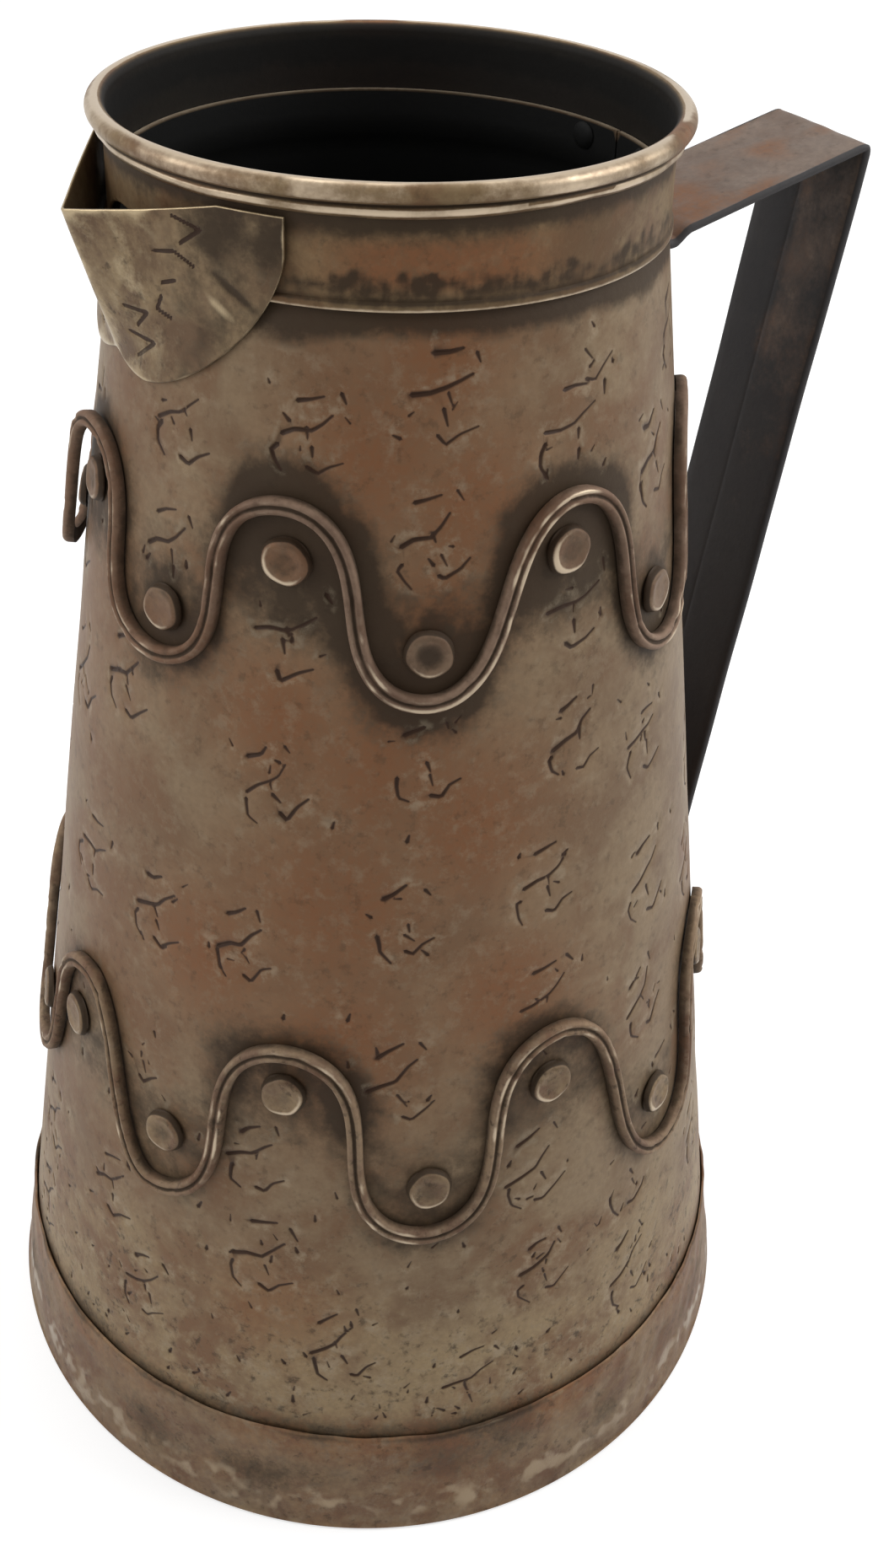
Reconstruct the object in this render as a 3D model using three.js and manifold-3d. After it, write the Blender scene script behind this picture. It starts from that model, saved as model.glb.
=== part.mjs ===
import * as THREE from 'three';
import { mergeVertices } from 'three/addons/utils/BufferGeometryUtils.js';
import Module from 'manifold-3d';

// Sheet-metal jug. Millimetres and degrees, up is +Z, the handle is on +X, the spout on -X.

// Clearances and facets
const FIT = 0.3;
const FACETS = 60;

// Body cone and its neck
const BODY_SHEET = 0.9;
const TABLE_RADIUS = 87.4;
const SHOULDER_RADIUS = 54.2;
const SHOULDER_HEIGHT = 274.5;
const NECK_STEP = 1.2;
const NECK_LAP = 9;
const SEAM_ANGLE = 0;
const SEAM_GAP = 0.5;
const SEAM_STRIP_WIDTH = 8;
const SEAM_STRIP_SHEET = 0.8;

// Collar with the wired rim
const COLLAR_SHEET = 0.7;
const COLLAR_HEIGHT = 23.1;
const COLLAR_PROUD = 0.1;
const COLLAR_HEM = 0.4;
const COLLAR_HEM_HEIGHT = 1.4;
const WIRE_RADIUS = 0.9;
const TUCK_DEPTH = 2.6;
const TUCK_BULGE = 0.7;

// Foot band and base
const BAND_SHEET = 0.9;
const BAND_HEIGHT = 26.5;
const LIP_WIDTH = 7;
const BASE_SHEET = 0.8;
const BASE_FLANGE = 9;

// Spout and the pouring hole behind it
const SPOUT_SHEET = 0.8;
const SPOUT_PROJECTION = 12.1;
const SPOUT_TIP_RISE = 9;
const SPOUT_KEEL_DROP = 19;
const SPOUT_WRAP = 43;
const SPOUT_LOBE_DROP = 2.5;
const SPOUT_LOBE_ANGLE = 11;
const SPOUT_CORNER_RISE = 8.5;
const SPOUT_EDGE_CURVE = 1.55;
const HOLE_WIDTH = 28;
const HOLE_HEIGHT = 23;
const HOLE_DROP = 3.5;

// Wave straps. Crests and valleys were laid out by eye, so no two bends match. Each one has its
// angle, its height above or below the others of its row, the steepness of the leg that leaves it
// (0 is a plain sine, higher is more upright), the turn of its stud from the bend, and how far the
// stud stands in from it.
const STRAP_WIDTH = 3.2;
const STRAP_HEIGHT = 2.4;
const STRAP_GROOVE = 0.6;
const STEPS_PER_HALF_WAVE = 6;
const UPPER_CREST_DROP = 34.5;
const UPPER_WAVE_DEPTH = 37;
const UPPER_CRESTS = [
  [173.4, -0.3, 0.46, 0.1, 11.9],
  [-135.7, 0.4, 0.36, 0.4, 10.7],
  [-83.2, -0.7, 0.4, -1.2, 10.3],
  [-33, 2, 0.38, 0, 11.5],
  [10, 0.3, 0.34, 0, 11.5],
  [51, -0.6, 0.4, 0.5, 11],
  [92, 0.4, 0.36, 0, 11.5],
  [132, 0, 0.38, -0.5, 11],
];
const UPPER_VALLEYS = [
  [-161.4, 0.8, 0.44, 1.6, 9.4],
  [-110.8, 0.5, 0.19, 0.2, 9.7],
  [-57.9, -3.3, 0.38, -2.1, 11],
  [-12, 0, 0.38, 0, 11],
  [31, 0.6, 0.34, 0.5, 10.5],
  [72, -0.5, 0.4, 0, 11],
  [112, 0.4, 0.36, -0.5, 10.5],
  [151, 0.6, 0.38, 0, 10.5],
];
const SPRUNG_ANGLE = 162;
const SPRUNG_SPREAD = 20;
const SPRUNG_LIFT = 2.1;
const LOWER_CREST = 122;
const LOWER_WAVE_DEPTH = 42;
const LOWER_CRESTS = [
  [43, 0, 0.38, 0, 11.5],
  [92, 1, 0.36, 0.5, 11.5],
  [144, -3, 0.38, 0, 11.5],
  [-173.1, -1.7, 0.14, -4.4, 15.8],
  [-131.9, 2.9, 0.45, -0.7, 10.3],
  [-88.2, 2.4, 0.3, -1, 12.4],
  [-42, -3.5, 0.38, 0, 11.5],
];
const LOWER_VALLEYS = [
  [21, 0, 0.34, 0, 11.5],
  [67, 0.5, 0.38, 0, 11.5],
  [118, -0.5, 0.36, 0.5, 11.5],
  [164, 0, 0.38, 0, 11.5],
  [-154.8, 1, 0.42, 1.7, 13.9],
  [-110.2, 1.5, 0.39, 0.6, 11.4],
  [-63.5, -3.7, 0.4, -1.2, 13.4],
  [-21, 0, 0.38, 0, 11.5],
];

// Studs beside the straps
const STUD_RADIUS = 4.9;
const STUD_HEIGHT = 1.7;
const SHANK_RADIUS = 1.6;
const TAIL_RADIUS = 2.9;
const TAIL_HEIGHT = 0.8;
const STUD_FACETS = 10;

// Handle strap with a tab at each end
const HANDLE_WIDTH = 31;
const HANDLE_THICKNESS = 2;
const HANDLE_PROJECTION = 55.1;
const HANDLE_CORNER_RISE = 13.6;
const HANDLE_ROOT_DROP = 8.9;
const HANDLE_LANDING_HEIGHT = 98.4;
const HANDLE_BEND = 2.6;
const HEM_SLOT_WIDTH = 0.8;
const HEM_SLOT_DEPTH = 0.5;
const TAB_THICKNESS = 2;
const UPPER_TAB_RISE = 14.5;
const LOWER_TAB_LENGTH = 24;
const TAB_STUD_RADIUS = 3;
const TAB_STUD_HEIGHT = 1.5;
const TAB_STUD_EDGE = 4.5;
const UPPER_TAB_STUD_RISE = 5.5;

// Values that follow from the sizes above
const RAD = Math.PI / 180;
const BODY_SLOPE = (TABLE_RADIUS - SHOULDER_RADIUS) / SHOULDER_HEIGHT;
const COLLAR_RADIUS = SHOULDER_RADIUS + COLLAR_PROUD;
const COLLAR_INNER = COLLAR_RADIUS - COLLAR_SHEET;
const NECK_RADIUS = COLLAR_INNER - FIT;
const COLLAR_LOW = SHOULDER_HEIGHT + NECK_STEP + FIT + 0.5;
const NECK_TOP = COLLAR_LOW + NECK_LAP;
const TOTAL_HEIGHT = COLLAR_LOW + COLLAR_HEIGHT;
const BODY_BOTTOM = BAND_SHEET + FIT;
const SPOUT_SEAT = COLLAR_RADIUS + COLLAR_HEM + FIT;
const ROLL_INNER = WIRE_RADIUS + FIT;
const ROLL_OUTER = ROLL_INNER + COLLAR_SHEET;
const ROLL_CENTRE = COLLAR_INNER + ROLL_OUTER;
const ROLL_LEVEL = TOTAL_HEIGHT - ROLL_OUTER;
const TUCK_LOW = ROLL_LEVEL - ROLL_OUTER - TUCK_DEPTH;
const SPOUT_TOP = TUCK_LOW - FIT - 0.6;
const SPOUT_REACH = COLLAR_RADIUS + SPOUT_PROJECTION;
const SPOUT_TIP_HEIGHT = COLLAR_LOW + SPOUT_TIP_RISE;
const SPOUT_KEEL_FOOT = COLLAR_LOW - SPOUT_KEEL_DROP;
const SPOUT_CORNER_HEIGHT = COLLAR_LOW + SPOUT_CORNER_RISE;
const HOLE_LEVEL = COLLAR_LOW - HOLE_DROP;
const UPPER_CREST = SHOULDER_HEIGHT - UPPER_CREST_DROP;
const UPPER_VALLEY = UPPER_CREST - UPPER_WAVE_DEPTH;
const LOWER_VALLEY = LOWER_CREST - LOWER_WAVE_DEPTH;
const HANDLE_REACH = COLLAR_RADIUS + HANDLE_PROJECTION;
const HANDLE_ROOT_HEIGHT = COLLAR_LOW - HANDLE_ROOT_DROP;
const HANDLE_CORNER_HEIGHT = HANDLE_ROOT_HEIGHT + HANDLE_CORNER_RISE;
const UPPER_TAB_TOP = COLLAR_LOW + UPPER_TAB_RISE;
const UPPER_TAB_STUD_HEIGHT = COLLAR_LOW + UPPER_TAB_STUD_RISE;
const TAB_STUD_SPREAD = HANDLE_WIDTH / 2 - TAB_STUD_EDGE;
const TAB_INNER = Math.max(COLLAR_RADIUS + COLLAR_HEM, bodyRadius(HANDLE_ROOT_HEIGHT)) + FIT;

// Outside radius of the cone at a height
function bodyRadius(z) {
  return TABLE_RADIUS - BODY_SLOPE * z;
}

function polar(radius, angle, z) {
  return [radius * Math.cos(angle * RAD), radius * Math.sin(angle * RAD), z];
}

function meshData(points, faces) {
  const geometry = new THREE.BufferGeometry();
  geometry.setAttribute('position', new THREE.Float32BufferAttribute(points.flat(), 3));
  geometry.setIndex(faces.flat());
  geometry.computeVertexNormals();
  return geometry;
}

// Turned piece: a profile of [radius, height] points, walked anticlockwise, spun about Z.
function turned(profile, facets) {
  const points = [];
  const rings = [];
  for (const [radius, z] of profile) {
    const ring = [];
    for (let i = 0; i < facets; i += 1) {
      if (radius > 0 || i === 0) {
        points.push(polar(radius, (i * 360) / facets, z));
      }
      ring.push(points.length - 1);
    }
    rings.push(ring);
  }
  const onAxis = profile[0][0] === 0;
  const spans = onAxis ? profile.length - 1 : profile.length;
  const faces = [];
  for (let j = 0; j < spans; j += 1) {
    const lower = rings[j];
    const upper = rings[(j + 1) % rings.length];
    for (let i = 0; i < facets; i += 1) {
      const k = (i + 1) % facets;
      if (lower[i] !== lower[k]) {
        faces.push([lower[i], lower[k], upper[k]]);
      }
      if (upper[i] !== upper[k]) {
        faces.push([lower[i], upper[k], upper[i]]);
      }
    }
  }
  return meshData(points, faces);
}

// Bar: a closed section repeated along a run of stations, each station a ring of points.
function lofted(stations, closed) {
  const count = stations[0].length;
  const faces = [];
  const spans = closed ? stations.length : stations.length - 1;
  for (let s = 0; s < spans; s += 1) {
    const here = s * count;
    const next = ((s + 1) % stations.length) * count;
    for (let i = 0; i < count; i += 1) {
      const k = (i + 1) % count;
      faces.push([here + i, next + i, next + k]);
      faces.push([here + i, next + k, here + k]);
    }
  }
  if (!closed) {
    const flat = sectionOutline(stations[0]);
    const last = (stations.length - 1) * count;
    for (const [a, b, c] of THREE.ShapeUtils.triangulateShape(flat, [])) {
      faces.push([a, b, c]);
      faces.push([last + c, last + b, last + a]);
    }
  }
  return meshData(stations.flat(), faces);
}

// Section points drawn flat, so that the end caps of a bar can be filled
function sectionOutline(ring) {
  const corners = ring.map((p) => new THREE.Vector3(...p));
  const normal = new THREE.Vector3();
  for (let i = 0; i < corners.length; i += 1) {
    normal.add(new THREE.Vector3().crossVectors(corners[i], corners[(i + 1) % corners.length]));
  }
  normal.normalize();
  const across = corners[1].clone().sub(corners[0]).normalize();
  const along = new THREE.Vector3().crossVectors(normal, across);
  return corners.map((p) => new THREE.Vector2(p.dot(across), p.dot(along)));
}

const wasm = await Module();
wasm.setup();

function solid(geometry) {
  const plain = geometry.clone();
  plain.deleteAttribute('normal');
  plain.deleteAttribute('uv');
  const merged = mergeVertices(plain, 1e-5);
  return new wasm.Manifold(new wasm.Mesh({
    numProp: 3,
    vertProperties: new Float32Array(merged.attributes.position.array),
    triVerts: new Uint32Array(merged.index.array),
  }));
}

function geometryOf(body) {
  const mesh = body.getMesh();
  const geometry = new THREE.BufferGeometry();
  geometry.setAttribute('position', new THREE.Float32BufferAttribute(mesh.vertProperties, 3));
  geometry.setIndex(new THREE.Uint32BufferAttribute(mesh.triVerts, 1));
  geometry.computeVertexNormals();
  return geometry;
}

// Flat outline in X and Z, extruded across Y
function plate(outline, width) {
  const shape = new THREE.Shape(outline.map(([x, z]) => new THREE.Vector2(x, z)));
  const geometry = new THREE.ExtrudeGeometry(shape, { depth: width, bevelEnabled: false });
  geometry.rotateX(Math.PI / 2);
  geometry.translate(0, width / 2, 0);
  return geometry;
}

// Pin along the outward direction, used for the holes
function pin(radius, length, facets) {
  const geometry = turned([[0, -length / 2], [radius, -length / 2], [radius, length / 2], [0, length / 2]], facets);
  return geometry;
}

const jug = new THREE.Group();
jug.name = 'metal_jug';

function material(colour, roughness) {
  return new THREE.MeshStandardMaterial({ color: colour, metalness: 0.85, roughness });
}

function add(parent, name, geometry, colour, roughness = 0.55) {
  const mesh = new THREE.Mesh(geometry, material(colour, roughness));
  mesh.name = name;
  parent.add(mesh);
  return mesh;
}

// Studs: where each one sits, and which way it points
function studSeats() {
  const seats = [];
  const rows = [
    ['upper_crest', UPPER_CREST, -1, UPPER_CRESTS],
    ['upper_valley', UPPER_VALLEY, 1, UPPER_VALLEYS],
    ['lower_crest', LOWER_CREST, -1, LOWER_CRESTS],
    ['lower_valley', LOWER_VALLEY, 1, LOWER_VALLEYS],
  ];
  for (const [row, level, side, bends] of rows) {
    bends.forEach(([angle, rise, , turn, inset], i) => {
      seats.push({ name: `${row}_stud_${i + 1}`, angle: angle + turn, z: level + rise + side * inset });
    });
  }
  return seats;
}

const TILT = Math.atan(BODY_SLOPE);
const studHead = (z) => bodyRadius(z) + FIT;
const lowerTabHead = (z) => bodyRadius(z) + TAB_THICKNESS + 2 * FIT;
const upperTabHead = () => TAB_INNER + TAB_THICKNESS + FIT;
const LOWER_TAB_STUD_HEIGHT = HANDLE_LANDING_HEIGHT - LOWER_TAB_LENGTH * 0.55;

function tabSeats() {
  const seats = [];
  for (const [side, sign] of [['left', 1], ['right', -1]]) {
    const upperAngle = (sign * TAB_STUD_SPREAD) / (TAB_INNER * RAD);
    const lowerAngle = (sign * TAB_STUD_SPREAD) / (bodyRadius(LOWER_TAB_STUD_HEIGHT) * RAD);
    seats.push({ name: `handle_upper_stud_${side}`, angle: upperAngle, z: UPPER_TAB_STUD_HEIGHT, upper: true });
    seats.push({ name: `handle_lower_stud_${side}`, angle: lowerAngle, z: LOWER_TAB_STUD_HEIGHT, upper: false });
  }
  return seats;
}

// Turn a piece made about Z so that its top points outward from the wall at a seat
function seatMatrix(angle, radius, z, tilt) {
  const out = new THREE.Vector3(Math.cos(angle * RAD) * Math.cos(tilt), Math.sin(angle * RAD) * Math.cos(tilt), Math.sin(tilt));
  const turn = new THREE.Quaternion().setFromUnitVectors(new THREE.Vector3(0, 0, 1), out);
  const place = new THREE.Vector3(...polar(radius, angle, z));
  return new THREE.Matrix4().compose(place, turn, new THREE.Vector3(1, 1, 1));
}

function wallHoles(seats, radiusAt, tilt) {
  let holes = null;
  for (const seat of seats) {
    const cutter = pin(SHANK_RADIUS + FIT, 16, STUD_FACETS);
    cutter.applyMatrix4(seatMatrix(seat.angle, radiusAt(seat.z), seat.z, tilt));
    holes = holes ? holes.add(solid(cutter)) : solid(cutter);
  }
  return holes;
}

// Pouring hole: an upright oval through the wall behind the spout
function pouringCutter() {
  const outline = [];
  const sides = 14;
  for (let i = 0; i < sides; i += 1) {
    const turn = (i * 2 * Math.PI) / sides;
    outline.push(new THREE.Vector2((HOLE_WIDTH / 2) * Math.cos(turn), (HOLE_HEIGHT / 2) * Math.sin(turn)));
  }
  const geometry = new THREE.ExtrudeGeometry(new THREE.Shape(outline), { depth: 30, bevelEnabled: false });
  geometry.rotateX(Math.PI / 2);
  geometry.rotateZ(-Math.PI / 2);
  geometry.translate(-SHOULDER_RADIUS + 15, 0, HOLE_LEVEL);
  return solid(geometry);
}

const studs = studSeats();
const tabStuds = tabSeats();
const pouringHole = pouringCutter();
const upperTabHoles = wallHoles(tabStuds.filter((seat) => seat.upper), upperTabHead, 0);
const lowerTabHoles = wallHoles(tabStuds.filter((seat) => !seat.upper), lowerTabHead, TILT);

// Body: one sheet rolled into a cone, its neck drawn in, its two edges meeting under the handle
const neckBase = SHOULDER_HEIGHT + NECK_STEP;
const bodyProfile = [
  [bodyRadius(BODY_BOTTOM) - BODY_SHEET, BODY_BOTTOM],
  [bodyRadius(BODY_BOTTOM), BODY_BOTTOM],
  [SHOULDER_RADIUS, SHOULDER_HEIGHT],
  [NECK_RADIUS, neckBase],
  [NECK_RADIUS, NECK_TOP],
  [NECK_RADIUS - BODY_SHEET, NECK_TOP],
  [NECK_RADIUS - BODY_SHEET, neckBase - 0.1],
  [SHOULDER_RADIUS - BODY_SHEET, SHOULDER_HEIGHT - 0.1],
];
const seamHalf = SEAM_GAP / 2 / (SHOULDER_RADIUS * RAD);
const bodyStations = [];
for (let i = 0; i <= FACETS; i += 1) {
  let angle = (i * 360) / FACETS;
  if (i === 0) {
    angle = SEAM_ANGLE + seamHalf;
  } else if (i === FACETS) {
    angle = 360 + SEAM_ANGLE - seamHalf;
  }
  bodyStations.push(bodyProfile.map(([radius, z]) => polar(radius, angle, z)));
}
let body = solid(lofted(bodyStations, false));
body = body.subtract(wallHoles(studs, studHead, TILT));
body = body.subtract(lowerTabHoles).subtract(upperTabHoles);
body = body.subtract(pouringHole);
add(jug, 'body_cone', geometryOf(body), 0x74604f);

// Strip closing the body seam from inside
const stripLow = BODY_BOTTOM + BASE_SHEET + BASE_FLANGE + 1;
const stripHigh = SHOULDER_HEIGHT - 4;
const stripStations = [];
for (const side of [-1, 0, 1]) {
  const ring = [];
  for (const [z, depth] of [[stripLow, 1], [stripLow, 0], [stripHigh, 0], [stripHigh, 1]]) {
    const radius = bodyRadius(z) - BODY_SHEET - FIT - depth * SEAM_STRIP_SHEET;
    ring.push(polar(radius, SEAM_ANGLE + (side * SEAM_STRIP_WIDTH) / 2 / (radius * RAD), z));
  }
  stripStations.push(ring);
}
add(jug, 'body_seam_strip', lofted(stripStations, false), 0x4a4038);

// Base: a pressed disc, flush with the table in the middle, its flange standing inside the cone
const base = new THREE.Group();
base.name = 'base';
jug.add(base);
const bandInner = bodyRadius(0) + FIT;
const bandOuter = bandInner + BAND_SHEET;
const lipInner = bandOuter - LIP_WIDTH - BAND_SHEET;
const flangeOut = (z) => bodyRadius(z) - BODY_SHEET - FIT;
const flangeTop = BODY_BOTTOM + BASE_FLANGE;
const wellRadius = lipInner - FIT;
add(base, 'base_plate', turned([
  [0, 0],
  [wellRadius - 0.4, 0],
  [wellRadius, BODY_BOTTOM],
  [flangeOut(BODY_BOTTOM), BODY_BOTTOM],
  [flangeOut(flangeTop), flangeTop],
  [flangeOut(flangeTop) - BASE_SHEET, flangeTop],
  [flangeOut(BODY_BOTTOM + BASE_SHEET) - BASE_SHEET, BODY_BOTTOM + BASE_SHEET],
  [wellRadius - BASE_SHEET, BODY_BOTTOM + BASE_SHEET],
  [wellRadius - BASE_SHEET - 0.4, BASE_SHEET],
  [0, BASE_SHEET],
], FACETS), 0x5c4c40);

// Foot band: a sloping band outside the cone, its lower edge turned in under it
add(base, 'foot_band', turned([
  [lipInner, 0],
  [bandOuter, 0],
  [bandOuter - BODY_SLOPE * BAND_HEIGHT, BAND_HEIGHT],
  [bandInner - BODY_SLOPE * BAND_HEIGHT, BAND_HEIGHT],
  [bandInner - BODY_SLOPE * BAND_SHEET, BAND_SHEET],
  [lipInner, BAND_SHEET],
], FACETS), 0x6d5243);

// Collar: an upright sleeve over the neck, its top rolled outward round the wire and tucked down
const neck = new THREE.Group();
neck.name = 'neck';
jug.add(neck);
const onRoll = (radius, angle) => [ROLL_CENTRE + radius * Math.cos(angle * RAD), ROLL_LEVEL + radius * Math.sin(angle * RAD)];
const tuckInner = COLLAR_RADIUS + FIT;
const tuckOuter = tuckInner + COLLAR_SHEET;
const tuckTurn = -180 + Math.acos((ROLL_CENTRE - tuckInner) / ROLL_INNER) / RAD;
const collarProfile = [
  [COLLAR_INNER, COLLAR_LOW],
  [COLLAR_RADIUS + COLLAR_HEM, COLLAR_LOW],
  [COLLAR_RADIUS + COLLAR_HEM, COLLAR_LOW + COLLAR_HEM_HEIGHT],
  [COLLAR_RADIUS, COLLAR_LOW + COLLAR_HEM_HEIGHT + COLLAR_HEM],
];
for (const angle of [180, 120, 60, 0, -60, tuckTurn]) {
  collarProfile.push(onRoll(ROLL_INNER, angle));
}
collarProfile.push([tuckInner, TUCK_LOW]);
collarProfile.push([tuckOuter, TUCK_LOW]);
collarProfile.push([tuckOuter + TUCK_BULGE, TUCK_LOW + TUCK_DEPTH * 0.45]);
collarProfile.push([tuckOuter + TUCK_BULGE * 0.3, TUCK_LOW + TUCK_DEPTH * 0.95]);
for (const angle of [-60, 0, 45, 90, 135, 180]) {
  collarProfile.push(onRoll(ROLL_OUTER, angle));
}
let collar = solid(turned(collarProfile, FACETS));
collar = collar.subtract(pouringHole);
collar = collar.subtract(upperTabHoles);
add(neck, 'neck_collar', geometryOf(collar), 0x7b6a58);

const wireProfile = [];
for (let i = 0; i < 6; i += 1) {
  wireProfile.push([ROLL_CENTRE + WIRE_RADIUS * Math.cos(i * 60 * RAD), ROLL_LEVEL + WIRE_RADIUS * Math.sin(i * 60 * RAD)]);
}
add(neck, 'rim_wire', turned(wireProfile, FACETS), 0x8a8178);

// Spout: one folded sheet, straight walls meeting in a keel, its wings wrapped on the collar
function spoutTop(turn) {
  const rise = Math.min(1, Math.abs(turn) / 30);
  return SPOUT_TIP_HEIGHT + (SPOUT_TOP - SPOUT_TIP_HEIGHT) * rise;
}

function spoutBottom(turn) {
  const away = Math.abs(turn);
  if (away < SPOUT_LOBE_ANGLE) {
    return SPOUT_KEEL_FOOT - SPOUT_LOBE_DROP * Math.sin((away / SPOUT_LOBE_ANGLE) * 90 * RAD);
  }
  const share = Math.min(1, (away - SPOUT_LOBE_ANGLE) / (SPOUT_WRAP - SPOUT_LOBE_ANGLE));
  const low = SPOUT_KEEL_FOOT - SPOUT_LOBE_DROP;
  const bulge = (1 - share ** SPOUT_EDGE_CURVE) ** (1 / SPOUT_EDGE_CURVE);
  return low + (SPOUT_CORNER_HEIGHT - low) * (1 - bulge);
}

function spoutRadius(turn, z) {
  const seat = Math.max(SPOUT_SEAT, bodyRadius(z) + FIT);
  const share = Math.max(0, (z - SPOUT_KEEL_FOOT) / (SPOUT_TIP_HEIGHT - SPOUT_KEEL_FOOT));
  const keelFoot = bodyRadius(SPOUT_KEEL_FOOT) + FIT;
  const keel = Math.max(seat, keelFoot + (SPOUT_REACH - SPOUT_SHEET - keelFoot) * share);
  const tangent = Math.acos(seat / keel) / RAD;
  return seat / Math.cos(Math.max(0, tangent - Math.abs(turn)) * RAD);
}

const spoutColumns = 24;
const spoutRows = 6;
const spoutStations = [];
for (let i = 0; i <= spoutColumns; i += 1) {
  const turn = SPOUT_WRAP * Math.sin(((2 * i) / spoutColumns - 1) * 90 * RAD);
  const inner = [];
  const outer = [];
  for (let j = 0; j <= spoutRows; j += 1) {
    const z = spoutBottom(turn) + ((spoutTop(turn) - spoutBottom(turn)) * j) / spoutRows;
    const radius = spoutRadius(turn, z);
    inner.push(polar(radius, 180 + turn, z));
    outer.push(polar(radius + SPOUT_SHEET, 180 + turn, z));
  }
  spoutStations.push([...outer, ...inner.reverse()]);
}
add(jug, 'spout', lofted(spoutStations, false), 0x7d6b58);

// Wave straps: grooved bars bent into waves and wrapped round the cone
const strapSection = [
  [STRAP_WIDTH / 2, 0],
  [-STRAP_WIDTH / 2, 0],
  [-STRAP_WIDTH / 2, STRAP_HEIGHT * 0.72],
  [-STRAP_WIDTH * 0.28, STRAP_HEIGHT],
  [0, STRAP_HEIGHT - STRAP_GROOVE],
  [STRAP_WIDTH * 0.28, STRAP_HEIGHT],
  [STRAP_WIDTH / 2, STRAP_HEIGHT * 0.72],
];

function wavePath(bends, closed) {
  const path = [];
  const spans = closed ? bends.length : bends.length - 1;
  for (let i = 0; i < spans; i += 1) {
    const here = bends[i];
    const next = bends[(i + 1) % bends.length];
    const advance = (((next.angle - here.angle) % 360) + 360) % 360;
    for (let k = 0; k < STEPS_PER_HALF_WAVE; k += 1) {
      const t = k / STEPS_PER_HALF_WAVE;
      const along = t + (here.steepness / Math.PI) * Math.sin(2 * Math.PI * t);
      const swing = (1 - Math.cos(Math.PI * t)) / 2;
      path.push({ angle: here.angle + advance * along, z: here.z + (next.z - here.z) * swing });
    }
  }
  if (!closed) {
    path.push({ angle: bends[bends.length - 1].angle, z: bends[bends.length - 1].z });
  }
  return path;
}

function strap(bends, closed, lift) {
  const path = wavePath(bends, closed);
  const centres = path.map(({ angle, z }) => new THREE.Vector3(...polar(bodyRadius(z) + FIT + lift(angle), angle, z)));
  const stations = path.map(({ angle }, i) => {
    const before = centres[closed ? (i + path.length - 1) % path.length : Math.max(0, i - 1)];
    const after = centres[closed ? (i + 1) % path.length : Math.min(path.length - 1, i + 1)];
    const along = after.clone().sub(before).normalize();
    const outward = new THREE.Vector3(Math.cos(angle * RAD), Math.sin(angle * RAD), BODY_SLOPE).normalize();
    const across = new THREE.Vector3().crossVectors(outward, along).normalize();
    return strapSection.map(([side, rise]) => {
      const point = centres[i].clone().addScaledVector(across, side).addScaledVector(outward, rise);
      return [point.x, point.y, point.z];
    });
  });
  return lofted(stations, closed);
}

// Crests and valleys in the order that they come round the cone
function bendsOf(crests, valleys, crest, valley, start) {
  const bends = [
    ...crests.map(([angle, rise, steepness]) => ({ angle, z: crest + rise, steepness })),
    ...valleys.map(([angle, rise, steepness]) => ({ angle, z: valley + rise, steepness })),
  ];
  const order = (angle) => (((angle - start) % 360) + 360) % 360;
  return bends.sort((a, b) => order(a.angle) - order(b.angle));
}

function sprung(angle) {
  const away = Math.abs(((((angle - SPRUNG_ANGLE) % 360) + 540) % 360) - 180);
  if (away > SPRUNG_SPREAD) {
    return 0;
  }
  return (SPRUNG_LIFT * (1 + Math.cos((away / SPRUNG_SPREAD) * Math.PI))) / 2;
}

const trim = new THREE.Group();
trim.name = 'trim';
jug.add(trim);
const upperBends = bendsOf(UPPER_CRESTS, UPPER_VALLEYS, UPPER_CREST, UPPER_VALLEY, 0);
const lowerBends = bendsOf(LOWER_CRESTS, LOWER_VALLEYS, LOWER_CREST, LOWER_VALLEY, 0);
add(trim, 'upper_wave_strap', strap(upperBends, true, sprung), 0x7a675a);
add(trim, 'lower_wave_strap', strap(lowerBends, false, () => 0), 0x7a675a);

// A stud: domed head outside, shank through the wall, hammered tail inside
function studGeometry(radius, height, grip) {
  return turned([
    [0, -grip - TAIL_HEIGHT],
    [TAIL_RADIUS, -grip],
    [SHANK_RADIUS, -grip],
    [SHANK_RADIUS, 0],
    [radius, 0],
    [radius * 0.8, height * 0.75],
    [0, height],
  ], STUD_FACETS);
}

function addStud(seat, geometry, radius, tilt, colour) {
  const stud = add(trim, seat.name, geometry, colour);
  seatMatrix(seat.angle, radius, seat.z, tilt).decompose(stud.position, stud.quaternion, stud.scale);
}

for (const seat of studs) {
  const grip = BODY_SHEET + 2 * FIT;
  addStud(seat, studGeometry(STUD_RADIUS, STUD_HEIGHT, grip), studHead(seat.z), TILT, 0x75604f);
}
for (const seat of tabStuds) {
  if (seat.upper) {
    const head = upperTabHead();
    const grip = head - (NECK_RADIUS - BODY_SHEET - FIT);
    addStud(seat, studGeometry(TAB_STUD_RADIUS, TAB_STUD_HEIGHT, grip), head, 0, 0x6a5a4c);
  } else {
    const grip = BODY_SHEET + TAB_THICKNESS + 3 * FIT;
    addStud(seat, studGeometry(TAB_STUD_RADIUS, TAB_STUD_HEIGHT, grip), lowerTabHead(seat.z), TILT, 0x6a5a4c);
  }
}

// Handle: one strap, its upper leg rising outward, its long leg slanting back to the cone
function tabBlock(low, high, radiusAt, thickness) {
  const stations = [];
  const columns = 6;
  for (let i = 0; i <= columns; i += 1) {
    const side = -HANDLE_WIDTH / 2 + (HANDLE_WIDTH * i) / columns;
    const ring = [];
    for (const [z, depth] of [[low, 0], [low, thickness], [high, thickness], [high, 0]]) {
      const radius = radiusAt(z) + depth;
      const angle = Math.asin(side / radius) / RAD;
      ring.push(polar(radius, angle, z));
    }
    stations.push(ring);
  }
  return solid(lofted(stations, false));
}

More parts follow.
